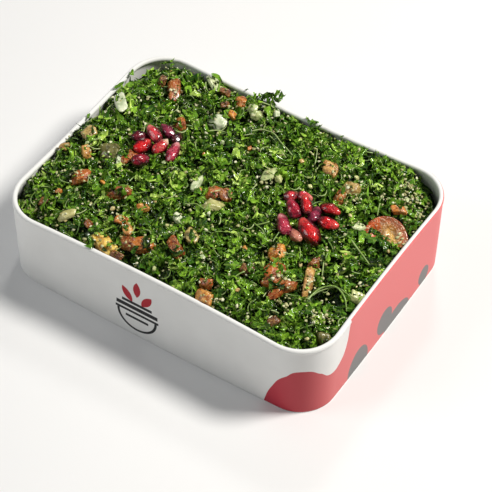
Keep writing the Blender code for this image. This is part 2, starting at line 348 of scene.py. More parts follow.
class Tufts:
    """The clumps that chopped leaves gather in: each a small dome with its own height and tone."""

    def __init__(self, spacing, seed, dome, uneven):
        rng = np.random.default_rng(seed)
        count = int(np.ptp(GRID_X) * np.ptp(GRID_Y) / spacing ** 2)
        self.x = rng.uniform(GRID_X[0], GRID_X[-1], count)
        self.y = rng.uniform(GRID_Y[0], GRID_Y[-1], count)
        self.rise = rng.normal(0, uneven, count) + 1.3 * sample(SWELL, self.x, self.y)
        self.rise -= HOLLOW_DEPTH * (rng.random(count) < HOLLOW_SHARE)
        for x, y, radius, depth in HOLLOWS:
            self.rise -= depth * np.exp(-((self.x - x) ** 2 + (self.y - y) ** 2) / (0.7 * radius) ** 2)
        for x, y, radius, depth in DIPS:
            dip = depth * np.exp(-((self.x - x) ** 2 + (self.y - y) ** 2) / radius ** 2)
            self.rise = np.minimum(self.rise, 0.6 * self.rise - dip + 0.4)
        self.tone = rng.normal(0, 1, count)
        self.dome = dome
        self.tree = KDTree(count)
        for index in range(count):
            self.tree.insert((self.x[index], self.y[index], 0), index)
        self.tree.balance()

    def at(self, x, y):
        """Height over the heap, outward slope, its direction and the tuft's tone at each point."""
        warp_x = 0.8 * sample(PATCHES, x * 1.7 % 90, y * 1.3 % 60)
        warp_y = 0.8 * sample(PATCHES, y * 1.7 % 90, x * 1.3 % 60)
        nearest = np.array([self.tree.find((a, b, 0))[1] for a, b in zip(x + warp_x, y + warp_y)])
        dx, dy = x - self.x[nearest], y - self.y[nearest]
        away = np.hypot(dx, dy)
        fall = self.dome * np.minimum(away, 3.6) ** 2
        slope = 2 * self.dome * np.minimum(away, 3.0)
        return self.rise[nearest] - fall, slope, np.arctan2(dy, dx), self.tone[nearest]


TUFTS = Tufts(4.8, 71, 0.20, 0.9)


# ---------------------------------------------------------------- toppings' own frames

def topping_frames():
    """Centre, axes (long one first, towards the pointed end) and half sizes of each aril."""
    found = {}
    for name in ARILS:
        points = np.array([v.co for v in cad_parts[name].data.vertices]) / MM
        low, high = points.min(0), points.max(0)
        middle = (low + high) / 2
        _, _, axes = np.linalg.svd(points - points.mean(0))
        along = (points - middle) @ axes[0]
        across = np.linalg.norm((points - middle) - np.outer(along, axes[0]), axis=1)
        if across[along > 0].max() > across[along < 0].max():
            axes[0] *= -1
        axes[2] = np.cross(axes[0], axes[1])
        if axes[2][2] < 0:
            axes[1:] *= -1
        spread = (points - middle) @ axes.T
        centre = middle + ((spread.max(0) + spread.min(0)) / 2) @ axes
        found[name] = (centre, axes, np.ptp(spread, axis=0) / 2)
    return found


ARIL_FRAMES = topping_frames()
WEDGE_LOW, WEDGE_HIGH = box_mm("tomato_wedge")
WEDGE_TREE = node_tree("tomato_wedge")


# Diced vegetables lying in the salad: place, length, width, thickness, heading and tone.
# Tomato runs from dark skin (0) through red flesh to tan flesh (1).
TOMATO_DICE = (
    (-60, 42, 13, 5.5, 5.5, 122, 0.44), (-44.5, 23.5, 7.5, 6.5, 5, 20, 0.56), (-68, 44, 5, 3.5, 4, 100, 0.10),
    (-27.5, 53.5, 6.5, 4.5, 4, 150, 0.70), (-38, 55, 6, 5, 4, 30, 0.30), (-32, 46, 5, 4, 3, 60, 0.20),
    (-25, 42, 4.5, 3.5, 3, 0, 0.80), (-77.5, -6, 6.5, 6, 4, 60, 0.92), (-71, -17, 7, 5, 4, 140, 0.86),
    (-53.8, -9.6, 10.5, 10, 6, 80, 0.50), (-63.5, -33, 9.0, 7.5, 5, 30, 0.64),
    (-42.8, -31.2, 12.5, 5.0, 5, 46, 0.40), (-83, -19, 4, 3.5, 3.5, 90, 0.9), (-69.5, -54.5, 4.5, 4, 3.5, 0, 0.2),
    (-42, -55, 5, 3, 3, 160, 0.4), (-4, -6, 7.5, 7, 5, 10, 0.55), (2, -4.5, 6.5, 6, 5, 60, 0.36),
    (1.5, -34, 8.5, 7.5, 6.5, 100, 0.98), (0, -45, 11, 5, 5, -35, 0.46), (-14.5, -51, 9, 8, 6, 60, 0.66),
    (-21.5, -53.5, 7, 6, 5, 0, 0.40), (-25.5, -47.5, 7, 5.5, 5, 100, 0.86), (-22.5, -61.5, 7, 3.5, 3, 0, 0.25),
    (41, -22, 8, 7, 6, 120, 0.80), (47.5, -36, 9.5, 9, 6, 80, 0.55), (54.5, -36.5, 8.5, 6.5, 6, 70, 0.46),
    (35, -39, 5.5, 5, 4, 0, 0.15), (23, -54.5, 6.0, 4.5, 4.5, 10, 0.52), (26, -60, 8, 6.0, 5, 0, 0.84),
    (59, -17.5, 7, 5, 5, 100, 0.24), (62.5, -29, 15, 4.4, 5, 114, 0.88), (60.5, -56, 5, 4, 3.5, 60, 0.08),
    (34, 37.5, 8, 6, 4.5, 0, 0.88), (49, 31, 8, 7, 5, 70, 0.95), (47.5, 24.5, 6, 5, 4.5, 90, 0.66),
    (74.5, 33.0, 7, 4.0, 4, 30, 0.76), (-27.1, -33, 5.5, 4.2, 4, 60, 0.84),
    (-30.5, -45.0, 6, 5, 4, 20, 0.70), (45.5, -31, 8, 7, 5, 60, 0.62), (53, -42.5, 7, 5, 5, 100, 0.50))
# Onion and pale stalk ends run from cream (0) to white (1).
ONION_DICE = (
    (-77, 20, 13, 5, 4, 135, 0.95), (-46.5, 58, 11, 5, 3, -40, 0.5), (-29.5, 34.5, 8.5, 6.5, 4, 20, 1.0),
    (-19, 50.5, 5, 4, 3, 0, 0.45), (-15, 48, 4.5, 3.5, 3, 40, 0.35), (-8, 56, 5, 2.5, 2.5, -50, 0.9),
    (-54.5, -56, 8, 4, 3, 35, 0.15), (-0.5, -13.5, 8.5, 6, 5, 10, 0.2), (-14.5, -5.5, 8.5, 3.5, 3, 110, 0.6),
    (-9.5, -29.5, 4, 3.5, 3, 0, 0.8), (11.5, 18.5, 7, 5.5, 4, 100, 0.4), (17, 18, 3.5, 3, 3, 0, 0.3),
    (84, -21, 6.5, 4.5, 4, 10, 0.3), (65, 11.8, 5.2, 3.2, 3, 70, 0.50), (-55, -11.5, 8, 2.2, 2, 115, 0.85))
PEPPER_BIT = (-30.5, -59.0, 16.5, 8.5, 5, -8, 0.5)
CUCUMBER_BITS = ((83, -49.5, 7.5, 6.5, 5, 30, 0.4), (-61, -11.5, 12, 13, 5, 35, 0.9))
DICE_PROUD = 2.3                # how far a die's top stands over the heap


def dice_top(x, y, z, reach=1.0):
    """The height of the dice's tops where the points lie over one, and z elsewhere; reach grows the dice."""
    top = z.copy()
    for cx, cy, length, width, tall, heading, _ in TOMATO_DICE + ONION_DICE + (PEPPER_BIT,) + CUCUMBER_BITS:
        c, s = math.cos(math.radians(heading)), math.sin(math.radians(heading))
        along = (x - cx) * c + (y - cy) * s
        across = (y - cy) * c - (x - cx) * s
        ring = (np.abs(2 * along / length) ** 3 + np.abs(2 * across / width) ** 3) / reach ** 3
        crest = sample(HEAP, np.array([cx]), np.array([cy]))[0] + DICE_PROUD
        top = np.where(ring < 1, np.maximum(top, crest - 0.35 * tall * ring), top)
    return top


def clear_of_toppings(x, y, z, margin):
    """True where a small piece neither sits in a topping nor hides it from above."""
    clear = np.ones(len(x), bool)
    for centre, axes, half in ARIL_FRAMES.values():
        offset = np.stack((x, y, z), 1) - centre
        local = offset @ axes.T
        local[:, 2] = np.maximum(local[:, 2], -1e9)
        over = offset[:, 2] > -half[2] * 0.5
        ring = np.hypot(local[:, 0] / (half[0] + margin), local[:, 1] / (half[1] + margin))
        clear &= ~((ring < 1) & over)
    near = (x > WEDGE_LOW[0] - 2) & (x < WEDGE_HIGH[0] + 2) & (y > WEDGE_LOW[1] - 2) & (y < WEDGE_HIGH[1] + 2)
    for i in np.nonzero(near & clear)[0]:
        hit = WEDGE_TREE.find_nearest(Vector((x[i], y[i], z[i])))
        over = WEDGE_TREE.ray_cast(Vector((x[i], y[i], z[i])), Vector((0, 0, -1)))[0] is not None
        clear[i] = not (over or hit[3] < margin)
    return clear


# ---------------------------------------------------------------- scattering

def spread_points(count, seed, margin=2.2):
    """Evenly strewn places inside the bowl's wall."""
    steps = np.array((0.7548776662466927, 0.5698402909980532))
    rng = np.random.default_rng(seed)
    share = (rng.random(2) + np.outer(np.arange(count * 2), steps)) % 1.0
    x = GRID_X[0] + share[:, 0] * np.ptp(GRID_X) + rng.normal(0, 0.6, count * 2)
    y = GRID_Y[0] + share[:, 1] * np.ptp(GRID_Y) + rng.normal(0, 0.6, count * 2)
    inside = wall_depth(x, y, HEIGHT) > margin
    return x[inside][:count], y[inside][:count]


def turns(yaw, tilt, towards):
    """Rotation matrices: a turn about Z, then a tilt about a level axis that points towards."""
    c, s = np.cos(yaw), np.sin(yaw)
    zero, one = np.zeros_like(c), np.ones_like(c)
    spin = np.stack((c, -s, zero, s, c, zero, zero, zero, one), -1).reshape(-1, 3, 3)
    ax, ay = np.cos(towards), np.sin(towards)
    ct, st = np.cos(tilt), np.sin(tilt)
    lean = np.stack((
        ct + ax * ax * (1 - ct), ax * ay * (1 - ct), ay * st,
        ax * ay * (1 - ct), ct + ay * ay * (1 - ct), -ax * st,
        -ay * st, ax * st, ct), -1).reshape(-1, 3, 3)
    return lean @ spin


def on_slope(matrices, x, y):
    """The matrices, leaned so that their +Z stands on the heap's slope."""
    slope_x, slope_y = sample(SLOPE_X, x, y), sample(SLOPE_Y, x, y)
    steep = np.arctan(np.hypot(slope_x, slope_y))
    downhill = np.arctan2(-slope_y, -slope_x)
    return turns(np.zeros_like(x), steep, downhill + math.pi / 2) @ matrices


def strew(name, templates, places, matrices, sizes, tones, seed, material, inside=True, sharp=True, own=False):
    """Copies of the templates joined into one mesh. sizes has a row of three scales a copy.

    With own set, no two copies share a cell of the map: the cells follow the order of tones.
    """
    rng = np.random.default_rng(seed)
    kinds = rng.integers(len(templates), size=len(places))
    rows = rng.integers(CELL_ROWS, size=len(places))
    columns = np.clip((tones * CELL_COLUMNS).astype(int), 0, CELL_COLUMNS - 1)
    if own:
        rank = np.argsort(np.argsort(tones)) * (CELL_COLUMNS * CELL_ROWS) // len(places)
        columns, rows = rank // CELL_ROWS, rank % CELL_ROWS
    verts, faces, uvs, rims = [], [], [], []
    start = 0
    for kind, (shape, corners, corner_uv, rim) in enumerate(templates):
        mine = np.nonzero(kinds == kind)[0]
        if not len(mine):
            continue
        scaled = shape[None] * sizes[mine][:, None, :]
        moved = np.einsum("nij,nkj->nki", matrices[mine], scaled) + places[mine][:, None, :]
        offset = start + np.arange(len(mine)) * len(shape)
        verts.append(moved.reshape(-1, 3))
        faces.append((corners[None] + offset[:, None, None]).reshape(-1, 3))
        cell = np.stack((columns[mine] / CELL_COLUMNS, rows[mine] / CELL_ROWS), -1)
        local = corner_uv[None] * (1 / CELL_COLUMNS, 1 / CELL_ROWS) + cell[:, None, :]
        uvs.append(local.reshape(-1, 2))
        rims.append(np.tile(rim, len(mine)))
        start += len(mine) * len(shape)
    verts = np.concatenate(verts)
    if inside:
        verts = keep_inside(verts)
    made = add_mesh(name, verts, np.concatenate(faces), material, True,
                    np.concatenate(uvs), np.concatenate(rims) if sharp else None)
    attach(made, "root")
    return made


def half_cell(points, side, reach):
    """Map coordinates in a cell's lower (0) or upper (1) half for points within +-reach."""
    place = 0.5 + 0.44 * np.clip(points[..., :2] / reach, -1, 1)
    return np.stack((place[..., 0], (place[..., 1] + side) / 2), -1)


# ---------------------------------------------------------------- leaf shapes

def leaf_template(rng, points=12, jag=0.15, narrow=0.62, curl=0.35, cut=0.5, thick=0.1, ruffle=0.07, sweep=0.0,
                  blunt=1.0):
    """A bit of chopped leaf one unit long: a ragged, ruffled outline with two skins, bent and curled."""
    angle = np.arange(points) * TAU / points + rng.uniform(-0.15, 0.15, points)
    lobes = rng.integers(2, 5)
    reach = 1 + 0.19 * np.cos(lobes * angle + rng.uniform(0, TAU)) + rng.uniform(-jag, jag, points)
    along = np.sign(np.cos(angle)) * np.abs(np.cos(angle)) ** blunt
    across = np.sign(np.sin(angle)) * np.abs(np.sin(angle)) ** blunt
    edge = np.stack((along * reach, across * reach * narrow), 1) * 0.5
    if rng.random() < 0.7:              # a straight knife cut across one side
        turn = rng.uniform(0, TAU)
        across = np.array((math.cos(turn), math.sin(turn)))
        over = np.maximum(edge @ across - cut * 0.5 * rng.uniform(0.5, 1.0), 0)
        edge -= np.outer(over, across)
    edge[:, 1] += rng.normal(0, sweep) * edge[:, 0] ** 2
    inner = edge * 0.5 + rng.normal(0, 0.02, edge.shape)
    bend_x, bend_y, twist = rng.normal(0, curl, 3) * (1.0, 1.6, 1.4)
    wave = rng.uniform(0, TAU)

    def lift(flat):
        x, y = flat.T
        z = bend_x * x * x + bend_y * y * y + twist * x * y
        z += 0.05 * np.sin(x * 9 + wave) * np.cos(y * 8 - wave)
        return z

    middle = edge.mean(0)[None]
    rings = [edge, inner, middle]
    flat = np.concatenate(rings + [inner, middle])
    height = lift(flat)
    waves = ruffle * np.cos(math.pi * np.arange(points)) * rng.uniform(0.4, 1.6, points)
    height[:points] += waves
    height[points:2 * points] -= 0.4 * waves
    height[2 * points + 1:3 * points + 1] -= 0.4 * waves
    skin = np.concatenate((np.zeros(points), np.full(points + 1, thick / 2), np.full(points + 1, -thick / 2)))
    verts = np.column_stack((flat, height + skin))
    verts[:, 2] -= verts[:, 2].mean()
    faces, corner_uv = [], []
    for side, first, hub in ((1, points, 2 * points), (0, 2 * points + 1, 3 * points + 1)):
        for i in range(points):
            j = (i + 1) % points
            for tri in ((i, j, first + j), (i, first + j, first + i), (first + i, first + j, hub)):
                tri = tri if side else tri[::-1]
                faces.append(tri)
                corner_uv.append(half_cell(verts[list(tri)], side, 0.62))
    rim = np.zeros(len(verts), bool)
    rim[:points] = True
    return verts, np.array(faces), np.array(corner_uv).reshape(-1, 2), rim


def small_leaf_template(rng, points=10, **shape):
    """A smaller bit: as leaf_template, with one hub a side."""
    verts, faces, corner_uv, rim = leaf_template(rng, points, **shape)
    hub_top, hub_low = 2 * points, 3 * points + 1
    keep = list(range(points)) + [hub_top, hub_low]
    verts = verts[keep]
    rim = rim[keep]
    faces, uvs = [], []
    for side, hub in ((1, points), (0, points + 1)):
        for i in range(points):
            tri = (i, (i + 1) % points, hub)
            tri = tri if side else tri[::-1]
            faces.append(tri)
            uvs.append(half_cell(verts[list(tri)], side, 0.62))
    return verts, np.array(faces), np.array(uvs).reshape(-1, 2), rim


def stalk_template(rng, steps=7, sides=5, bend=0.6):
    """A stalk one unit long and one unit thick, bent, with cut ends."""
    t = np.linspace(-0.5, 0.5, steps + 1)
    arc = rng.normal(0, bend)
    sway = rng.normal(0, bend * 0.5)
    spine = np.stack((t, arc * (t * t - 0.08), sway * (t ** 3)), 1)
    angle = np.arange(sides) * TAU / sides
    verts, corner = [], []
    for k, point in enumerate(spine):
        width = 0.5 * (1 - 0.25 * k / steps)
        for a in angle:
            verts.append((point[0], point[1], point[2], width * math.cos(a), width * math.sin(a)))
    verts = np.array(verts)
    faces, uvs = [], []

    def corner_at(k, i):
        side = 1 if i % sides < sides / 2 else 0
        return (0.06 + 0.88 * k / steps, (0.06 + 0.88 * (i / sides) % 1.0 + side) / 2)

    for k in range(steps):
        for i in range(sides):
            j = (i + 1) % sides
            a, b, c, d = k * sides + i, k * sides + j, (k + 1) * sides + j, (k + 1) * sides + i
            for tri, marks in (((a, c, b), ((k, i), (k + 1, i + 1), (k, i + 1))),
                               ((a, d, c), ((k, i), (k + 1, i), (k + 1, i + 1)))):
                faces.append(tri)
                uvs.append([corner_at(*mark) for mark in marks])
    for ring, flip in ((0, False), (steps, True)):
        for i in range(1, sides - 1):
            tri = (ring * sides, ring * sides + i, ring * sides + i + 1)
            faces.append(tri[::-1] if flip else tri)
            uvs.append([corner_at(ring, 0), corner_at(ring, 0.5), corner_at(ring, 1)])
    return verts, np.array(faces), np.array(uvs).reshape(-1, 2), np.zeros(len(verts), bool)


def stalks(name, count, seed, length, width, tones, material, sink, lift):
    """Stalks strewn over the heap; their thickness is kept while their length varies."""
    rng = np.random.default_rng(seed)
    x, y = spread_points(count, seed, 4.0)
    long = rng.uniform(*length, count)
    thick = rng.uniform(*width, count)
    z = sample(HEAP, x, y) + rng.uniform(-sink, lift, count)
    good = clear_of_toppings(x, y, z, 2.0) & (hollow_share(x, y) < 0.4)
    x, y, z, long, thick = (v[good] for v in (x, y, z, long, thick))
    matrices = on_slope(turns(rng.uniform(0, TAU, len(x)), rng.normal(0, 0.35, len(x)),
                              rng.uniform(0, TAU, len(x))), x, y)
    templates = [stalk_template(rng) for _ in range(10)]
    kinds = rng.integers(len(templates), size=len(x))
    verts, faces, uvs, start = [], [], [], 0
    columns = (rng.uniform(*tones, len(x)) * CELL_COLUMNS).astype(int)
    rows = rng.integers(CELL_ROWS, size=len(x))
    for kind, (shape, corners, corner_uv, _) in enumerate(templates):
        mine = np.nonzero(kinds == kind)[0]
        size, fat = long[mine][:, None], thick[mine][:, None]
        local = np.stack((shape[None, :, 0] * size, shape[None, :, 1] * size + shape[None, :, 3] * fat,
                          shape[None, :, 2] * size + shape[None, :, 4] * fat), -1)
        moved = np.einsum("nij,nkj->nki", matrices[mine], local)
        moved += np.stack((x, y, z), 1)[mine][:, None, :]
        verts.append(moved.reshape(-1, 3))
        faces.append((corners[None] + (start + np.arange(len(mine)) * len(shape))[:, None, None]).reshape(-1, 3))
        cell = np.stack((columns[mine] / CELL_COLUMNS, rows[mine] / CELL_ROWS), -1)
        uvs.append((corner_uv[None] * (1 / CELL_COLUMNS, 1 / CELL_ROWS) + cell[:, None, :]).reshape(-1, 2))
        start += len(mine) * len(shape)
    made = add_mesh(name, keep_inside(np.concatenate(verts)), np.concatenate(faces), material, True,
                    np.concatenate(uvs))
    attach(made, "root")
    return made


# ---------------------------------------------------------------- materials

def leaf_material(name, stops):
    """Wet chopped leaf: tone from the cell, paler veins, underside paler and duller."""
    nodes = Nodes(name)
    tone, variation, along, across, side = cell_parts(nodes)
    base = nodes.ramp(tone, stops)
    off_rib = nodes.math("ABSOLUTE", nodes.math("SUBTRACT", across, 0.5))
    rib = nodes.band(off_rib, 0.0, 0.07, 1.0, 0.0)
    slanted = nodes.math("ADD", nodes.math("MULTIPLY", along, 7.0), nodes.math("MULTIPLY", off_rib, -6.0))
    veins = nodes.band(nodes.math("ABSOLUTE", nodes.math("SUBTRACT", nodes.math("FRACT", slanted), 0.5)),
                       0.0, 0.2, 0.6, 0.0)
    vein = nodes.math("MAXIMUM", rib, veins)
    colour = nodes.mix(nodes.math("MULTIPLY", vein, 0.28), base, (0.34, 0.50, 0.06))
    under = nodes.math("SUBTRACT", 1.0, side)
    colour = nodes.mix(nodes.math("MULTIPLY", under, 0.18), colour, (0.20, 0.36, 0.05))
    spot = nodes.join(nodes.math("MULTIPLY", along, 1.0), across, nodes.math("MULTIPLY", variation, 9.0))
    mottle = nodes.noise(4.0, 3.0, spot)
    shade = nodes.ramp(mottle, ((0.35, (0.62, 0.64, 0.6)), (0.5, (0.95, 0.95, 0.9)), (0.66, (1.5, 1.4, 1.3))))
    colour = nodes.mix(1.0, colour, shade, "MULTIPLY")
    nodes.bump(nodes.math("ADD", nodes.math("MULTIPLY", vein, -0.8), nodes.math("MULTIPLY", mottle, 2.0)),
               0.7, 0.0004)
    return nodes.finish(colour, 0.45, Specular_IOR_Level=0.12, Coat_Weight=0.42, Coat_Roughness=0.10)


def grain_material(name):
    """Swollen bulgur or seeds: cream to tan with paler mottling, faintly glossy."""
    nodes = Nodes(name)
    tone, variation, along, across, side = cell_parts(nodes)
    base = nodes.ramp(tone, ((0.0, (0.22, 0.17, 0.05)), (0.35, (0.34, 0.34, 0.11)),
                             (0.7, (0.56, 0.56, 0.27)), (1.0, (0.80, 0.80, 0.54))))
    spot = nodes.join(along, across, nodes.math("MULTIPLY", variation, 7.0))
    mottle = nodes.noise(3.0, 2.0, spot)
    colour = nodes.mix(nodes.band(mottle, 0.35, 0.75, 0.0, 0.4), base, (0.70, 0.66, 0.44))
    nodes.bump(mottle, 0.25, 0.0002)
    return nodes.finish(colour, 0.4, Specular_IOR_Level=0.35)


def core_material():
    """The salad seen deep between the leaves, painted near black to dark green as the shade down there."""
    nodes = Nodes("salad_depths_painted_shade")
    place = nodes.place()
    fine = nodes.noise(900.0, 3.0, place)
    broad = nodes.noise(160.0, 2.0, place)
    # Painted shade: the depths run from near black to dark green
    colour = nodes.ramp(nodes.math("MULTIPLY", fine, nodes.math("ADD", broad, 0.5)),
                        ((0.3, (0.004, 0.012, 0.003)), (0.55, (0.02, 0.05, 0.008)), (0.75, (0.05, 0.11, 0.02))))
    nodes.bump(fine, 0.8, 0.0008)
    return nodes.finish(colour, 0.45)


# ---------------------------------------------------------------- the heap's pieces

CORE_DROP = 3.8


def make_core():
    """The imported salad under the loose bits, a lumpy body that fills the bowl."""
    columns, rows = 176, 132
    u, v = np.meshgrid(np.linspace(-1, 1, columns + 1), np.linspace(-1, 1, rows + 1), indexing="ij")
    half = np.array((90.0, 68.0))
    x, y = u * half[0], v * half[1]
    reach = np.maximum(np.abs(u), np.abs(v))
    far = np.zeros_like(reach)
    # The grid's edge is drawn in to the wall along rays from the middle.
    scale = np.ones_like(reach)
    edge_x, edge_y = x / np.maximum(reach, 1e-6), y / np.maximum(reach, 1e-6)
    low, high = np.full(reach.shape, 0.5), np.full(reach.shape, 1.1)
    for _ in range(24):
        mid = (low + high) / 2
        free = wall_depth(edge_x * mid, edge_y * mid, HEIGHT * 0.7) > WALL + 0.4
        low = np.where(free, mid, low)
        high = np.where(free, high, mid)
    scale = 1 + (low - 1) * reach ** 4
    x, y = x * scale, y * scale
    z = sample(HEAP, x, y) - CORE_DROP + 0.5 * TUFTS.at(x.ravel(), y.ravel())[0].reshape(x.shape)
    z += np.array([0.5 * noise.noise(Vector((a / 1.6, b / 1.6, 2.0))) for a, b in zip(x.ravel(), y.ravel())]
                  ).reshape(x.shape)
    for i, j in zip(*np.nonzero((x > WEDGE_LOW[0] - 4) & (x < WEDGE_HIGH[0] + 1)
                                & (y > WEDGE_LOW[1] - 4) & (y < WEDGE_HIGH[1] + 1))):
        nearest = WEDGE_TREE.find_nearest(Vector((x[i, j], y[i, j], z[i, j])))[0]
        if math.hypot(nearest.x - x[i, j], nearest.y - y[i, j]) < 2.5:
            z[i, j] = min(z[i, j], WEDGE_LOW[2] - 0.5)
    top = np.stack((x, y, z), -1).reshape(-1, 3)
    index = np.arange(len(top)).reshape(columns + 1, rows + 1)
    quads = np.stack((index[:-1, :-1], index[1:, :-1], index[1:, 1:], index[:-1, 1:]), -1).reshape(-1, 4)
    ring = np.concatenate((index[:, 0], index[-1, 1:], index[-2::-1, -1], index[0, -2:0:-1]))
    verts = [top]
    faces = [quads]
    last = ring
    for level, inset in ((HEIGHT * 0.55, 0.0), (10.0, 0.3), (FLOOR_TOP + 0.6, 3.2)):
        edge = top[ring].copy()
        length, width = plan_at(level)[:2]
        rim_length, rim_width = plan_at(HEIGHT * 0.7)[:2]
        edge[:, 0] *= (length / 2 - inset) / (rim_length / 2)
        edge[:, 1] *= (width / 2 - inset) / (rim_width / 2)
        edge[:, 2] = level
        fresh = sum(len(part) for part in verts) + np.arange(len(ring))
        verts.append(edge)
        nxt, last_next = np.roll(fresh, -1), np.roll(last, -1)
        faces.append(np.stack((last, fresh, nxt, last_next), -1))
        last = fresh
    hub = sum(len(part) for part in verts)
    verts.append(np.array(((0, 0, FLOOR_TOP + 0.6),)))
    bottom = np.stack((last, np.full(len(last), hub), np.roll(last, -1), np.roll(last, -1)), -1)
    all_verts = np.concatenate(verts)
    polys = [tuple(face) for face in np.concatenate(faces)] + [tuple(face[:3]) for face in bottom]
    core = add_mesh("salad_core", all_verts, polys, core_material())
    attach(core, "root")
    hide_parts("salad")
    return core


STEEPEST = 0.75                 # radians a strewn leaf leans at most


def strew_leaves(name, count, seed, length, templates, tones, material, sink, lift, tilt, over_dice, margin=1.0):
    """Leaves over the heap; over_dice gives how far a die keeps them off, and the share let onto it."""
    rng = np.random.default_rng(seed)
    x, y = spread_points(count, seed)
    count = len(x)
    long = rng.uniform(*length, count) * np.exp(rng.normal(0, 0.12, count))
    over, slope, away, tuft_tone = TUFTS.at(x, y)
    z = sample(HEAP, x, y) + over + rng.uniform(-sink, lift, count)
    low, high, share = over_dice
    top = dice_top(x, y, z, rng.uniform(low, high, count))
    good = clear_of_toppings(x, y, z, margin) & ((top <= z + 0.01) | (rng.random(count) < share))
    good &= rng.random(count) > 0.95 * hollow_share(x, y)
    z = np.where(top > z, top + 0.2, z)
    x, y, z, long, over, slope, away, tuft_tone = (
        v[good] for v in (x, y, z, long, over, slope, away, tuft_tone))
    count = len(x)
    calm = np.clip((wall_depth(x, y, HEIGHT) - 2.5) / 6, 0.1, 1)       # leaves lie flatter and lower along the rim
    z = z - 0.8 * (1 - calm)
    leaning = calm * np.clip(rng.normal(0, tilt, count), -STEEPEST, STEEPEST)
    flat = turns(rng.uniform(0, TAU, count), leaning, rng.uniform(0, TAU, count))
    domed = turns(np.zeros(count), 0.8 * np.arctan(slope), away + math.pi / 2) @ flat
    matrices = on_slope(domed, x, y)
    curled = long * rng.uniform(0.8, 1.4, count) * np.maximum(calm, 0.35)
    sizes = np.stack((long, long * rng.uniform(0.8, 1.25, count), curled), 1)
    # A leaf's tone: random per leaf and per tuft, plus painted shade that darkens leaves lying lower in the heap
    shade = tones[0] + tones[1] * rng.normal(0, 1, count) + 0.10 * tuft_tone + 0.07 * over
    made = strew(name, templates, np.stack((x, y, z), 1), matrices, sizes, np.clip(shade, 0, 0.999), seed, material)
    return made


LEAF_GREENS = ((0.0, (0.003, 0.018, 0.002)), (0.3, (0.022, 0.088, 0.005)), (0.55, (0.080, 0.215, 0.011)),
               (0.8, (0.240, 0.470, 0.034)), (1.0, (0.500, 0.700, 0.150)))


def make_leaves():
    few = 1.0
    rng = np.random.default_rng(5)
    leaf = leaf_material("parsley", LEAF_GREENS)
    small = [small_leaf_template(rng, 10, narrow=0.5, curl=0.9, thick=0.12, ruffle=0.10, sweep=0.5) for _ in range(24)]
    large = [leaf_template(rng, 12, narrow=0.55, curl=0.8, thick=0.06, ruffle=0.09, sweep=0.4) for _ in range(14)]
    sliver = [leaf_template(rng, 12, jag=0.14, narrow=0.30, curl=1.0, thick=0.07, sweep=1.1, blunt=0.75)
              for _ in range(16)]
    # The under layer's low tone is painted shade for the leaves deep in the heap
    strew_leaves("parsley_under", int(4600 * few), 21, (3.0, 5.0), small, (0.24, 0.10), leaf, 3.0, -1.0, 0.5,
                 (0.9, 1.2, 0.0))
    strew_leaves("parsley_bits", int(6800 * few), 22, (1.9, 3.9), small, (0.50, 0.21), leaf, 1.4, 0.5, 0.7,
                 (0.6, 1.0, 0.26))
    strew_leaves("parsley_leaves", int(2550 * few), 23, (4.2, 7.6), large, (0.50, 0.20), leaf, 1.0, 0.4, 0.5,
                 (1.0, 1.4, 0.05), 1.6)
    strew_leaves("parsley_slivers", int(2400 * few), 24, (3.5, 6.9), sliver, (0.66, 0.18), leaf, 0.8, 0.8, 0.45,
                 (1.0, 1.4, 0.12), 1.4)
    make_rim_leaves(large, leaf)


def make_rim_leaves(templates, leaf):
    """Leaves that stick up past the rim or lie across it: place, turn, lean, length and tone."""
    listed = [
        (-35.4, -62.6, 47.0, -58, 25, 6.8, 0.46), (-37.6, -60.6, 47.2, -40, 10, 5.0, 0.40),
        (-74.5, 60.0, 46.8, 60, 30, 5.0, 0.75), (-72.0, 58.5, 46.9, 100, 20, 4.5, 0.45),
        (-76.5, 57.5, 46.5, 20, 25, 4.0, 0.6),
        (9.0, 62.5, 47.3, -20, 15, 7.5, 0.55), (13.0, 60.5, 47.2, 30, 25, 5.0, 0.35), (5.5, 63.0, 47.2, -60, 20, 4.0, 0.7),
        (26.5, 62.3, 46.9, 70, 30, 2.6, 0.6), (46.5, 62.0, 47.0, 110, 30, 3.0, 0.7),
        (-31.0, 63.8, 46.9, 80, 30, 2.4, 0.2), (-86.0, 42.0, 47.2, 90, 15, 5.0, 0.6),
        (-86.2, 31.0, 47.0, 70, 15, 5.5, 0.5), (-86.4, 5.0, 46.6, 110, 15, 4.5, 0.55)]
    rng = np.random.default_rng(77)
    for step in range(26):              # a tuft that leans over the far rim
        share = step / 25
        listed.append((-24.0 + 12.5 * share + rng.normal(0, 1.6), 60.3 + 4.6 * share + rng.normal(0, 1.0),
                       47.4 + 5.2 * share ** 1.3 + rng.normal(0, 0.8), rng.uniform(0, 360), rng.uniform(10, 75),
                       rng.uniform(3.2, 6.0), rng.uniform(0.25, 0.8)))
    rows = np.array(listed)
    matrices = turns(np.radians(rows[:, 3]), np.radians(rows[:, 4]), rng.uniform(0, TAU, len(rows)))
    sizes = np.stack((rows[:, 5], rows[:, 5] * 0.8, rows[:, 5]), 1)
    made = strew("rim_leaves", templates, rows[:, :3], matrices, sizes, rows[:, 6], 78, leaf, inside=False)


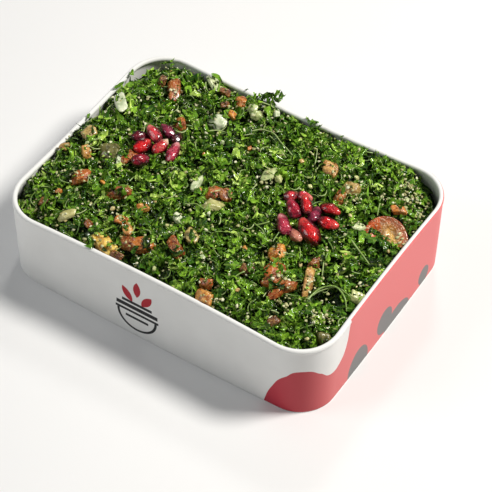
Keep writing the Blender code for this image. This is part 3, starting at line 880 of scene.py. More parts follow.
def grain_template(rng):
    """A grain one unit long, with a crease along it."""
    columns, rows = 8, 5
    verts = [(0.5, 0, 0)]
    for r in range(1, rows):
        polar = math.pi * r / rows
        for c in range(columns):
            a = TAU * c / columns
            verts.append((0.5 * math.cos(polar), 0.36 * math.sin(polar) * math.cos(a),
                          0.32 * math.sin(polar) * math.sin(a)))
    verts.append((-0.5, 0, 0))
    verts = np.array(verts)
    verts *= 1 + rng.uniform(-0.22, 0.22, (len(verts), 1))
    for _ in range(2):                  # broken sides
        normal = rng.normal(0, 1, 3)
        normal /= np.linalg.norm(normal)
        verts -= np.outer(np.maximum(verts @ normal - rng.uniform(0.12, 0.3), 0), normal)
    verts[:, 2] -= 0.05 * np.exp(-(verts[:, 1] / 0.12) ** 2) * (verts[:, 2] > 0)
    faces = []
    for c in range(columns):
        d = (c + 1) % columns
        faces.append((0, 1 + c, 1 + d))
        for r in range(rows - 2):
            a, b = 1 + r * columns + c, 1 + r * columns + d
            faces.append((a, a + columns, b + columns))
            faces.append((a, b + columns, b))
        last = 1 + (rows - 2) * columns
        faces.append((last + c, len(verts) - 1, last + d))
    faces = np.array(faces)
    side = (verts[faces].mean(1)[:, 2] > 0).astype(int)
    uvs = np.stack([half_cell(verts[face], s, 0.6) for face, s in zip(faces, side)])
    return verts, faces, uvs.reshape(-1, 2), np.zeros(len(verts), bool)


# Where bulgur gathers: place and spread
GRAIN_HEAPS = ((75, 44, 4.5, 90), (70, 53, 3.0, 25), (77, 38, 2.5, 18), (-33, -44, 3.2, 26), (-56, 16, 2.6, 22),
               (20, -51, 2.2, 12), (33, -60, 2.4, 14), (-6, 31, 2.0, 10), (-77, -31, 2.2, 10), (78, -40.5, 1.4, 8),
               (75, -45, 2.4, 12), (60, -46, 2.2, 12), (-56, -61, 2.2, 12), (-66, -57, 2.0, 10), (12, 20, 3.2, 30),
               (41, -22, 3.6, 22), (49, 30, 3.4, 24), (49, -34, 4.6, 26), (63, -28, 3.2, 22), (-3, -7, 3.6, 18),
               (-60, 42, 3.4, 12), (84, 24, 3.0, 22), (-14, 49, 3.2, 26), (26, -60, 3.0, 18), (-51, -11, 3.4, 14),
               (-64, -32, 3.4, 18))


def make_grains():
    few = 1.0
    rng = np.random.default_rng(31)
    x, y = spread_points(int(2700 * few), 31)
    keep = rng.random(len(x)) < np.clip(0.45 + 0.9 * sample(noise_map(9.0, 21.0), x, y), 0.08, 1.0)
    x, y = [x[keep]], [y[keep]]
    for cx, cy, spread, count in GRAIN_HEAPS:
        x.append(cx + rng.normal(0, spread, count))
        y.append(cy + rng.normal(0, spread, count))
    x, y = np.concatenate(x), np.concatenate(y)
    inside = wall_depth(x, y, HEIGHT) > 2.6
    x, y = x[inside], y[inside]
    z = sample(HEAP, x, y) + np.maximum(TUFTS.at(x, y)[0], -1.2) + rng.uniform(-0.9, 0.7, len(x))
    z = np.maximum(z, dice_top(x, y, z) - rng.uniform(0, 0.6, len(x)))
    good = clear_of_toppings(x, y, z, 0.3) & (rng.random(len(x)) > 0.95 * hollow_share(x, y))
    x, y, z = x[good], y[good], z[good]
    count = len(x)
    matrices = turns(rng.uniform(0, TAU, count), rng.normal(0, 0.5, count), rng.uniform(0, TAU, count))
    long = rng.uniform(0.9, 2.4, count)
    sizes = np.stack((long, long * rng.uniform(0.7, 1.3, count), long * rng.uniform(0.7, 1.3, count)), 1)
    templates = [grain_template(rng) for _ in range(10)]
    made = strew("bulgur_grains", templates, np.stack((x, y, z), 1), matrices, sizes,
                 np.clip(rng.normal(0.6, 0.28, count), 0, 0.999), 31, grain_material("bulgur"), sharp=False)


# Longer stems, as places along each in plan with their height over the heap
LONG_STEMS = (
    ((67, -38, -1.5), (67, -32, 0.6), (69, -27, 1.8), (73, -24.5, 2.4), (77, -25, 2.4), (81, -27, 1.6), (84, -31, -0.5)),
    ((66, -36, -1.5), (68, -30, 0.2), (71, -26, 1.2), (76, -23.5, 1.4), (82, -24, 0.6)),
    ((65.5, 4, 0.2), (69, 1.5, 1.0), (73, -0.5, 1.2), (79.5, -3, 0.4)), ((59, -10, 0.4), (62, -15, 0.9), (65.5, -22, 0.2)),
    ((-11.5, 38.5, 0.4), (-8, 42, 1.1), (-1, 43, 1.4), (6, 38.5, 1.1), (14, 35, 0.2)),
    ((2, 36, 0.4), (8, 34, 1.0), (15, 30.5, 0.4)), ((-30, 26, 0.3), (-25, 30, 1.0), (-19, 31.5, 0.3)),
    ((22, -12, 0.3), (28, -14, 1.0), (33, -18, 0.3)), ((-12, -20, 0.3), (-7, -17, 1.0), (-1, -18, 0.3)))
STEM_WIDTHS = (1.0, 0.7, 0.9, 0.8, 0.7, 0.6, 0.7, 0.7, 0.6)


def make_long_stems(material):
    """Bent stems laid over the heap, each a tube through its places."""
    steps, sides = 24, 7
    verts, faces, uvs = [], [], []
    for number, (places, width) in enumerate(zip(LONG_STEMS, STEM_WIDTHS)):
        places = np.array(places, float)
        t = np.linspace(0, len(places) - 1, len(places))
        fine = np.linspace(0, len(places) - 1, steps + 1)
        line = np.stack([np.interp(fine, t, places[:, k]) for k in range(3)], 1)
        for _ in range(4):
            line[1:-1] = (line[:-2] + 2 * line[1:-1] + line[2:]) / 4
        line[:, 2] += sample(HEAP, line[:, 0], line[:, 1])
        ahead = np.gradient(line, axis=0)
        ahead /= np.linalg.norm(ahead, axis=1)[:, None]
        aside = np.cross(ahead, (0, 0, 1.0))
        aside /= np.linalg.norm(aside, axis=1)[:, None]
        upward = np.cross(aside, ahead)
        start = len(verts)
        for k in range(steps + 1):
            for i in range(sides):
                a = TAU * i / sides
                thick = 0.5 * width * (1 - 0.3 * k / steps)
                verts.append(line[k] + thick * (math.cos(a) * aside[k] + math.sin(a) * upward[k]))
        cell = np.array(((CELL_COLUMNS // 2 + number % 7) / CELL_COLUMNS, (number % CELL_ROWS) / CELL_ROWS))

        def corner_at(k, i):
            place = (0.06 + 0.88 * k / steps, (0.06 + 0.88 * i / sides + 1) / 2)
            return cell + np.array(place) / (CELL_COLUMNS, CELL_ROWS)

        for k in range(steps):
            for i in range(sides):
                j = (i + 1) % sides
                a, b = start + k * sides + i, start + k * sides + j
                faces += [(a, b + sides, b), (a, a + sides, b + sides)]
                uvs += [corner_at(k, i), corner_at(k + 1, i + 1), corner_at(k, i + 1),
                        corner_at(k, i), corner_at(k + 1, i), corner_at(k + 1, i + 1)]
        for ring, flip in ((0, False), (steps, True)):
            for i in range(1, sides - 1):
                tri = (start + ring * sides, start + ring * sides + i, start + ring * sides + i + 1)
                faces.append(tri[::-1] if flip else tri)
                uvs += [corner_at(ring, 0), corner_at(ring, 1), corner_at(ring, 2)]
    made = add_mesh("long_stems", keep_inside(np.array(verts)), np.array(faces), material, True, np.array(uvs))
    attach(made, "root")


def make_stalks():
    few = 1.0
    nodes = Nodes("parsley_stalk")
    tone, variation, along, across, side = cell_parts(nodes)
    base = nodes.ramp(tone, ((0.0, (0.07, 0.17, 0.015)), (0.5, (0.18, 0.32, 0.04)), (1.0, (0.42, 0.52, 0.20))))
    streak = nodes.noise(6.0, 1.0, nodes.join(nodes.math("MULTIPLY", along, 0.3), across, variation))
    colour = nodes.mix(nodes.band(streak, 0.4, 0.7, 0.0, 0.5), base, (0.55, 0.62, 0.34))
    nodes.bump(streak, 0.2, 0.0001)
    green = nodes.finish(colour, 0.32)
    stalks("parsley_stalks", int(300 * few), 41, (3.0, 8.0), (0.4, 0.8), (0.0, 0.99), green, 0.8, 1.0)
    make_long_stems(green)


# ---------------------------------------------------------------- diced vegetables

def chunk_template(rng, columns=22, rows=16, block=5.0, rough=0.065):
    """A hand-cut die one unit long each way: a soft block with skewed, slightly rough cuts."""
    verts, quads = ball(columns, rows)
    sides = (np.abs(verts) ** block).sum(1) ** (-1 / block)
    verts = verts * sides[:, None] * 0.5
    for _ in range(5):
        normal = rng.normal(0, 1, 3)
        normal /= np.linalg.norm(normal)
        over = np.maximum(verts @ normal - rng.uniform(0.36, 0.52), 0)
        verts -= np.outer(over, normal)
    verts[:, 0] += rng.normal(0, 0.22) * verts[:, 2] + rng.normal(0, 0.2) * verts[:, 1]
    verts[:, 1] += rng.normal(0, 0.22) * verts[:, 2]
    seed = rng.uniform(0, 50)
    bumps = np.array([noise.noise(Vector(v) * 3.0 + Vector((seed, 0, 0)))
                      + 0.8 * noise.noise(Vector(v) * 7.0 + Vector((seed, 0, 0))) for v in verts])
    verts *= 1 + rough * 2.2 * bumps[:, None]
    verts = (verts - (verts.max(0) + verts.min(0)) / 2) / np.ptp(verts, axis=0)
    faces = []
    for quad in quads:
        faces.append(quad[:3])
        if len(quad) == 4:
            faces.append((quad[0], quad[2], quad[3]))
    faces = np.array(faces)
    side = (verts[faces].mean(1)[:, 2] > 0).astype(int)
    uvs = np.stack([half_cell(verts[face], one, 0.6) for face, one in zip(faces, side)])
    return verts, faces, uvs.reshape(-1, 2), np.zeros(len(verts), bool)


def lay_dice(name, listed, templates, material, seed, fuller=1.0, random_count=0, size=(2.2, 4.2),
             tones=(0, 1)):
    """Dice at their listed places, and smaller ones strewn between them."""
    rng = np.random.default_rng(seed)
    rows = [list(row) for row in listed]
    crests = [DICE_PROUD] * len(rows)
    if random_count:
        xs, ys = spread_points(random_count, seed, 5.0)
        for x, y in zip(xs, ys):
            long = rng.uniform(*size)
            rows.append([x, y, long, long * rng.uniform(0.6, 1.0), long * rng.uniform(0.5, 0.8),
                         rng.uniform(0, 180), rng.uniform(*tones)])
            crests.append(rng.uniform(0.0, 1.3))
    rows, crests = np.array(rows), np.array(crests)
    rows[:len(listed), 2:4] *= fuller
    x, y, long, wide, tall, heading, tone = rows.T
    z = sample(HEAP, x, y) + crests - tall / 2
    good = clear_of_toppings(x, y, z, 0.5) & (hollow_share(x, y) < 0.4)
    good[:len(listed)] = True
    x, y, z, long, wide, tall, heading, tone = (v[good] for v in (x, y, z, long, wide, tall, heading, tone))
    matrices = on_slope(turns(np.radians(heading), rng.normal(0, 0.16, len(x)), rng.uniform(0, TAU, len(x))), x, y)
    made = strew(name, templates, np.stack((x, y, z), 1), matrices, np.stack((long, wide, tall), 1), tone, seed,
                 material, sharp=False, own=True)


def tomato_material():
    nodes = Nodes("diced_tomato")
    tone, variation, along, across, side = cell_parts(nodes)
    place = nodes.place()
    pulp = nodes.noise(420.0, 3.0, place)
    fine = nodes.noise(1300.0, 2.0, place)
    cloud = nodes.noise(230.0, 2.0, place)
    deep = nodes.ramp(tone, ((0.0, (0.060, 0.016, 0.004)), (0.3, (0.20, 0.030, 0.005)), (0.6, (0.36, 0.090, 0.008)),
                             (0.85, (0.30, 0.14, 0.036)), (1.0, (0.28, 0.20, 0.060))))
    light = nodes.ramp(tone, ((0.0, (0.18, 0.06, 0.014)), (0.3, (0.48, 0.110, 0.018)), (0.6, (0.72, 0.29, 0.040)),
                              (0.85, (0.62, 0.38, 0.12)), (1.0, (0.58, 0.46, 0.16))))
    colour = nodes.mix(nodes.band(pulp, 0.36, 0.58), deep, light)
    # Painted glints: pale cream specks for the sparkle of wet flesh
    painted_glint_speck = nodes.band(fine, 0.54, 0.64)
    colour = nodes.mix(nodes.math("MULTIPLY", painted_glint_speck, 0.45), colour, (0.80, 0.55, 0.19))
    colour = nodes.mix(nodes.band(cloud, 0.60, 0.70, 0.0, 0.5), colour, (0.12, 0.12, 0.02))
    nodes.bump(nodes.math("ADD", pulp, nodes.math("MULTIPLY", fine, 0.5)), 0.7, 0.0009)
    return nodes.finish(colour, 0.35, Coat_Weight=0.4, Coat_Roughness=0.16)


def onion_material():
    nodes = Nodes("diced_onion")
    tone, variation, along, across, side = cell_parts(nodes)
    place = nodes.place()
    cloud = nodes.noise(300.0, 2.0, place)
    fine = nodes.noise(1200.0, 2.0, place)
    deep = nodes.ramp(tone, ((0.0, (0.44, 0.34, 0.11)), (0.5, (0.36, 0.44, 0.15)), (1.0, (0.46, 0.54, 0.32))))
    light = nodes.ramp(tone, ((0.0, (0.70, 0.58, 0.27)), (0.5, (0.58, 0.64, 0.26)), (1.0, (0.76, 0.80, 0.56))))
    colour = nodes.mix(nodes.band(cloud, 0.36, 0.6), deep, light)
    nodes.bump(nodes.math("ADD", cloud, nodes.math("MULTIPLY", fine, 0.3)), 0.4, 0.0006)
    return nodes.finish(colour, 0.25, Coat_Weight=0.4, Coat_Roughness=0.12)


def pulp_material(name, deep, light, scale=380.0):
    nodes = Nodes(name)
    place = nodes.place()
    pulp = nodes.noise(scale, 3.0, place)
    fine = nodes.noise(scale * 3.2, 2.0, place)
    colour = nodes.mix(nodes.band(pulp, 0.36, 0.62), deep, light)
    nodes.bump(nodes.math("ADD", pulp, nodes.math("MULTIPLY", fine, 0.4)), 0.6, 0.0008)
    return nodes.finish(colour, 0.3, Coat_Weight=0.3, Coat_Roughness=0.15)


def make_dice():
    few = 1.0
    rng = np.random.default_rng(61)
    templates = [chunk_template(rng) for _ in range(12)]
    lay_dice("tomato_dice", TOMATO_DICE, templates, tomato_material(), 62, 1.2, int(20 * few), (1.6, 3.4),
             (0.7, 1.0))
    lay_dice("onion_dice", ONION_DICE, templates, onion_material(), 63, 1.3, int(50 * few), (1.4, 3.2),
             (0.0, 0.7))
    ragged = chunk_template(rng, 44, 32, 2.8, 0.15)
    lay_dice("pepper_bit", (PEPPER_BIT,), [ragged],
             pulp_material("yellow_pepper", (0.42, 0.17, 0.012), (0.86, 0.62, 0.14)), 64)
    lay_dice("cucumber_bits", CUCUMBER_BITS, templates[1:2],
             pulp_material("cucumber", (0.070, 0.066, 0.015), (0.19, 0.175, 0.055), 330.0), 65)


# ---------------------------------------------------------------- toppings

def ball(columns, rows):
    """Points and faces of a ball of radius one, poles on the X axis."""
    verts = [(1.0, 0, 0)]
    for r in range(1, rows):
        polar = math.pi * r / rows
        for c in range(columns):
            a = TAU * c / columns
            verts.append((math.cos(polar), math.sin(polar) * math.cos(a), math.sin(polar) * math.sin(a)))
    verts.append((-1.0, 0, 0))
    faces = []
    for c in range(columns):
        d = (c + 1) % columns
        faces.append((0, 1 + c, 1 + d))
        for r in range(rows - 2):
            a, b = 1 + r * columns + c, 1 + r * columns + d
            faces.append((a, a + columns, b + columns, b))
        last = 1 + (rows - 2) * columns
        faces.append((last + c, len(verts) - 1, last + d))
    return np.array(verts), faces


def aril_material(name, deep, bright, tip):
    """Juicy flesh: painted shade darkens its rim, painted light and pale painted glints brighten the side facing
    PAINTED_LIGHT_TOWARDS, and its pointed end is paler.
    """
    nodes = Nodes(name)
    uv = nodes.add("ShaderNodeUVMap", uv_map="ArilMap").outputs[0]
    along, painted_light_share, _ = nodes.split(uv)
    place = nodes.place()
    cloud = nodes.noise(380.0, 2.0, place)
    fine = nodes.noise(1200.0, 2.0, place)
    # Painted light and shade: the side facing PAINTED_LIGHT_TOWARDS takes the bright colour and the rim the dark one,
    # mottled by noise
    painted_light_mottled = nodes.math("ADD", painted_light_share, nodes.math("MULTIPLY", nodes.math("SUBTRACT", cloud, 0.5), 1.3))
    colour = nodes.mix(nodes.band(painted_light_mottled, 0.56, 1.02), deep, bright)
    # Painted glints: pale specks on the lit side
    painted_glint_speck = nodes.math("MULTIPLY", nodes.band(fine, 0.56, 0.68), nodes.band(painted_light_share, 0.3, 0.9, 0.0, 0.45))
    colour = nodes.mix(painted_glint_speck, colour, nodes.mix(0.5, bright, tip))
    colour = nodes.mix(nodes.math("MULTIPLY", nodes.band(along, 0.64, 0.88), nodes.band(painted_light_share, 0.2, 0.7)), colour, tip)
    nodes.bump(nodes.math("ADD", nodes.math("MULTIPLY", fine, 0.9), cloud), 0.9, 0.0008)
    return nodes.finish(colour, 0.3, Subsurface_Weight=0.06, Subsurface_Radius=(0.002, 0.0003, 0.0003),
                        Subsurface_Scale=1.0, Specular_IOR_Level=0.25, Coat_Weight=1.0, Coat_Roughness=0.12,
                        Coat_IOR=1.5)


ARIL_FULLER = 1.19              # fresh arils touch, where the CAD's keep a gap
# Each aril's colours: rim in painted shade, side facing the light in painted light, and pointed end
MAROON = ((0.020, 0.001, 0.004), (0.16, 0.003, 0.016), (0.22, 0.012, 0.03))
BLACK_RED = ((0.010, 0.001, 0.002), (0.08, 0.002, 0.008), (0.12, 0.006, 0.014))
PLUM = ((0.050, 0.002, 0.012), (0.30, 0.020, 0.060), (0.42, 0.07, 0.12))
RED = ((0.075, 0.001, 0.006), (0.66, 0.006, 0.010), (0.74, 0.06, 0.05))
DEEP_RED = ((0.040, 0.001, 0.003), (0.46, 0.004, 0.008), (0.62, 0.03, 0.03))
CRIMSON = ((0.070, 0.002, 0.012), (0.40, 0.008, 0.030), (0.50, 0.04, 0.07))
PINK = ((0.14, 0.004, 0.018), (0.52, 0.035, 0.075), (0.80, 0.32, 0.32))
PALE = ((0.34, 0.09, 0.06), (0.66, 0.25, 0.17), (0.76, 0.45, 0.34))
CREAM_TIP = ((0.12, 0.002, 0.006), (0.62, 0.030, 0.035), (0.90, 0.70, 0.50))
ROSE = ((0.10, 0.002, 0.008), (0.70, 0.040, 0.055), (0.85, 0.22, 0.18))
WINE = ((0.030, 0.001, 0.005), (0.34, 0.006, 0.024), (0.46, 0.05, 0.08))
ARIL_LOOKS = (MAROON, PLUM, BLACK_RED, RED, WINE, PINK, CREAM_TIP, ROSE, ROSE, ROSE, PLUM, PALE, PINK,
              DEEP_RED, RED, CRIMSON, RED, RED)
PAINTED_LIGHT_TOWARDS = np.array((0.25, -0.42, 0.87))   # the direction of the painted light: an aril's side facing this way is painted bright, its rim dark


def make_arils():
    """Each pomegranate aril, faceted where its neighbours pressed it in the fruit."""
    for index, (name, look) in enumerate(zip(ARILS, ARIL_LOOKS)):
        centre, axes, half = ARIL_FRAMES[name]
        rng = np.random.default_rng(100 + index)
        verts, faces = ball(36, 26)
        verts[1:-1, 1:] *= np.hypot(verts[1:-1, 1], verts[1:-1, 2])[:, None] ** -0.28      # plump ends
        facets = rng.normal(0, 1, (10, 3)) * (0.8, 1.0, 1.0)
        facets /= np.linalg.norm(facets, axis=1)[:, None]
        for facet, limit in zip(facets, rng.uniform(0.78, 0.92, 10)):
            over = verts @ facet - limit
            verts -= np.outer(np.where(over > 0, over * 0.78, 0), facet)
        along = (verts[:, 0] + 1) / 2
        taper = 1 - 0.34 * along ** 2
        middle, reach = (verts.max(0) + verts.min(0)) / 2, np.ptp(verts, axis=0) / 2
        shape = (verts - middle) / reach
        shape[:, 1:] *= taper[:, None] / 0.97
        points = centre + (shape * half * ARIL_FULLER) @ axes
        material = aril_material(f"aril_flesh_{index + 1:02d}", *look)
        made = add_mesh(f"pomegranate_{index + 1:02d}", points, faces, material)
        layer = made.data.uv_layers.new(name="ArilMap")
        ids = np.zeros(len(made.data.loops), np.int32)
        made.data.loops.foreach_get("vertex_index", ids)
        # How squarely each point faces PAINTED_LIGHT_TOWARDS, which sets the painted light and shade
        outward = (shape / half) @ axes
        outward /= np.linalg.norm(outward, axis=1)[:, None]
        painted_light_share = np.clip(outward @ PAINTED_LIGHT_TOWARDS, 0, 1)
        layer.data.foreach_set("uv", np.stack((along, painted_light_share), 1)[ids].astype(np.float32).ravel())
        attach(made, "root")
        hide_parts(name)


# The wedge as in the CAD: the middle of its core edge, half length, radius, half angle, heading and tilt
WEDGE_CORE = np.array((76.0, 16.4, 40.8))
WEDGE_HALF_LENGTH = 11.8
WEDGE_RADIUS = 13.6
WEDGE_HALF_ANGLE = math.radians(21)
WEDGE_TURN = np.array((Matrix.Rotation(math.radians(16), 3, "Z") @ Matrix.Rotation(math.radians(9), 3, "X")))


def make_wedge():
    """The tomato wedge: two cut faces with hollow seed chambers, and the skin between them."""
    steps, rings, thick = 56, 18, 8
    verts, marks, faces = [], [], []

    def relief(x, y, share, side):
        """How far the cut face dips: chambers between the core and the outer flesh."""
        ring = math.exp(-((share - 0.5) / 0.17) ** 2)
        ribs = 0.5 + 0.5 * math.cos(5 * math.atan2(y, x) + 0.6)
        rough = noise.noise(Vector((x / 1.6, y / 1.6, side * 7.0))) + 0.5 * noise.noise(Vector((x / 0.7, y / 0.7, side)))
        edge = math.exp(-((share - 1.0) / 0.05) ** 2)
        return 1.3 * ring * ribs - 0.28 * rough * (1 - edge) - 0.15

    grids = []
    for side in (1, -1):
        lean = side * WEDGE_HALF_ANGLE
        grid = []
        for i in range(steps + 1):
            theta = math.pi * i / steps
            row = []
            for j in range(rings + 1):
                share = j / rings
                x = WEDGE_HALF_LENGTH * math.cos(theta) * share
                y = WEDGE_RADIUS * math.sin(theta) * share
                dip = relief(x, y, share, side) * min(1, y / 2) * (share < 0.999)
                row.append(len(verts))
                verts.append((x, y * math.cos(lean) + side * dip * math.sin(lean) * side,
                              y * math.sin(lean) - side * dip * math.cos(lean)))
                marks.append((share, i / steps))
            grid.append(row)
        grids.append(grid)
        for i in range(steps):
            for j in range(rings):
                quad = (grid[i][j], grid[i][j + 1], grid[i + 1][j + 1], grid[i + 1][j])
                faces.append(quad if side > 0 else quad[::-1])
    last = [[grids[1][i][rings] for i in range(steps + 1)]]
    for k in range(1, thick):
        lean = -WEDGE_HALF_ANGLE + 2 * WEDGE_HALF_ANGLE * k / thick
        row = []
        for i in range(steps + 1):
            theta = math.pi * i / steps
            y = WEDGE_RADIUS * math.sin(theta)
            row.append(len(verts))
            verts.append((WEDGE_HALF_LENGTH * math.cos(theta), y * math.cos(lean), y * math.sin(lean)))
            marks.append((1.0, i / steps))
        last.append(row)
    last.append([grids[0][i][rings] for i in range(steps + 1)])
    for low, high in zip(last, last[1:]):
        for i in range(steps):
            faces.append((low[i], low[i + 1], high[i + 1], high[i]))
    points = np.array(verts) @ WEDGE_TURN.T + WEDGE_CORE
    nodes = Nodes("tomato_flesh")
    uv = nodes.add("ShaderNodeUVMap", uv_map="WedgeMap").outputs[0]
    share, turn, _ = nodes.split(uv)
    place = nodes.place()
    pulp = nodes.noise(330.0, 3.0, place)
    fine = nodes.noise(1100.0, 2.0, place)
    wander = nodes.math("ADD", share, nodes.math("MULTIPLY", nodes.math("SUBTRACT", pulp, 0.5), 0.35))
    colour = nodes.ramp(wander, ((0.1, (0.58, 0.28, 0.06)), (0.45, (0.72, 0.44, 0.11)), (0.62, (0.60, 0.27, 0.06)),
                                 (0.80, (0.48, 0.15, 0.045)), (0.97, (0.34, 0.065, 0.018))))
    tip = nodes.math("ADD", turn, nodes.math("MULTIPLY", nodes.math("SUBTRACT", pulp, 0.5), 0.3))
    colour = nodes.mix(nodes.band(tip, 0.55, 0.72, 0.0, 0.95), colour, (0.66, 0.100, 0.010))
    # Painted glints: pale specks for the sparkle of wet flesh
    painted_glint_speck = nodes.band(fine, 0.53, 0.64)
    colour = nodes.mix(nodes.math("MULTIPLY", painted_glint_speck, 0.7), colour, (0.86, 0.66, 0.42))
    colour = nodes.mix(nodes.band(pulp, 0.52, 0.38, 0.0, 0.6), colour, (0.20, 0.045, 0.012))
    nodes.bump(nodes.math("ADD", pulp, nodes.math("MULTIPLY", fine, 0.7)), 0.9, 0.0009)
    flesh = nodes.finish(colour, 0.3, Coat_Weight=0.6, Coat_Roughness=0.12)
    made = add_mesh("tomato_wedge_piece", points, faces, flesh)
    weld = made.modifiers.new("weld", "WELD")
    weld.merge_threshold = 0.000005
    layer = made.data.uv_layers.new(name="WedgeMap")
    ids = np.zeros(len(made.data.loops), np.int32)
    made.data.loops.foreach_get("vertex_index", ids)
    layer.data.foreach_set("uv", np.array(marks)[ids].astype(np.float32).ravel())
    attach(made, "root")
    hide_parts("tomato_wedge")


# Seeds in the wedge's chambers: share of the radius and angle round from its right end
WEDGE_SEEDS = ((0.66, 16), (0.80, 26), (0.62, 34), (0.84, 12), (0.74, 42))
# Leaves over the wedge's near side: place, height over the heap, turn, lean, length and tone
WEDGE_LEAVES = (
    (71.0, 13.6, 0.6, 110, 15, 6.5, 0.12), (67.5, 9.6, 0.6, 20, 20, 8.5, 0.40), (64.0, 8.2, 0.4, 60, 25, 6.5, 0.52),
    (76.5, 12.0, 0.4, 150, 20, 7.5, 0.30), (80.0, 12.0, -0.2, 80, 25, 6.5, 0.22), (73.0, 9.0, 1.0, 10, 15, 7.0, 0.40),
    (70.0, 6.5, 1.2, 70, 20, 6.0, 0.70), (83.5, 12.0, -1.0, 30, 20, 5.5, 0.35))


def make_wedge_trimmings():
    """Seeds on the wedge's cut face, and the leaves that lie over its near side."""
    rng = np.random.default_rng(83)
    share, angle = np.array(WEDGE_SEEDS, float).T
    angle = np.radians(angle)
    x, y = WEDGE_HALF_LENGTH * np.cos(angle) * share, WEDGE_RADIUS * np.sin(angle) * share
    local = np.stack((x, y * math.cos(WEDGE_HALF_ANGLE), y * math.sin(WEDGE_HALF_ANGLE) - 0.1), 1)
    places = local @ WEDGE_TURN.T + WEDGE_CORE
    count = len(places)
    matrices = WEDGE_TURN @ turns(angle, rng.normal(0, 0.3, count), rng.uniform(0, TAU, count))
    sizes = np.tile((2.6, 2.6, 1.8), (count, 1)) * rng.uniform(0.8, 1.1, (count, 1))
    seeds = strew("tomato_seeds", [grain_template(rng) for _ in range(4)], places, matrices, sizes,
                  rng.uniform(0.55, 0.85, count), 84, grain_material("tomato_seed"), sharp=False)
    rows = np.array(WEDGE_LEAVES)
    rows[:, 2] += sample(HEAP, rows[:, 0], rows[:, 1])
    matrices = turns(np.radians(rows[:, 3]), np.radians(rows[:, 4]), rng.uniform(0, TAU, len(rows)))
    sizes = np.stack((rows[:, 5], rows[:, 5], rows[:, 5]), 1)
    templates = [leaf_template(rng, 12, narrow=0.6, curl=0.7, thick=0.06, ruffle=0.12) for _ in range(6)]
    leaves = strew("wedge_leaves", templates, rows[:, :3], matrices, sizes, rows[:, 6], 85,
                   leaf_material("parsley_over_wedge", LEAF_GREENS))


# ---------------------------------------------------------------- the paper bowl

CORNER_STEPS = 20
SIDE_STEPS = 15


def ring_at(z, inset):
    """One closed ring of the wall's plan, and each point's distance round it from the front's middle."""
    length, width, corner, long_pinch, short_pinch = plan_at(z)
    length, width, corner = length - 2 * inset, width - 2 * inset, max(corner - inset, 1.0)
    half_x, half_y = length / 2 - corner, width / 2 - corner
    points = []
    corners = ((half_x, -half_y, -90), (half_x, half_y, 0), (-half_x, half_y, 90), (-half_x, -half_y, 180))
    for index, (cx, cy, start) in enumerate(corners):
        for step in range(CORNER_STEPS + 1):
            a = math.radians(start + 90 * step / CORNER_STEPS)
            points.append((cx + corner * math.cos(a), cy + corner * math.sin(a)))
        nx, ny, turn = corners[(index + 1) % 4]
        end = np.array((nx + corner * math.cos(math.radians(turn)), ny + corner * math.sin(math.radians(turn))))
        begin = np.array(points[-1])
        for step in range(1, SIDE_STEPS):
            points.append(tuple(begin + (end - begin) * step / SIDE_STEPS))
    x, y = np.array(points).T
    along, across = 2 * x / length, 2 * y / width
    return np.stack((x - short_pinch * along * (1 - across ** 2),
                     y - long_pinch * across * (1 - along ** 2), np.full(len(x), z)), 1)


def arc(inset, z, radius, start, end, steps):
    """Profile points round a circle; 0 degrees looks outward and 90 looks up."""
    angles = np.radians(np.linspace(start, end, steps + 1))
    return [(inset - radius * math.cos(a), z + radius * math.sin(a)) for a in angles]


def paper_material():
    nodes = Nodes("white_board")
    place = nodes.place()
    fibre = nodes.noise(1400.0, 3.0, place)
    cloud = nodes.noise(60.0, 2.0, place)
    colour = nodes.ramp(cloud, ((0.3, (0.80, 0.80, 0.78)), (0.7, (0.84, 0.84, 0.82))))
    nodes.bump(fibre, 0.12, 0.0002)
    return nodes.finish(colour, 0.5, Specular_IOR_Level=0.25)


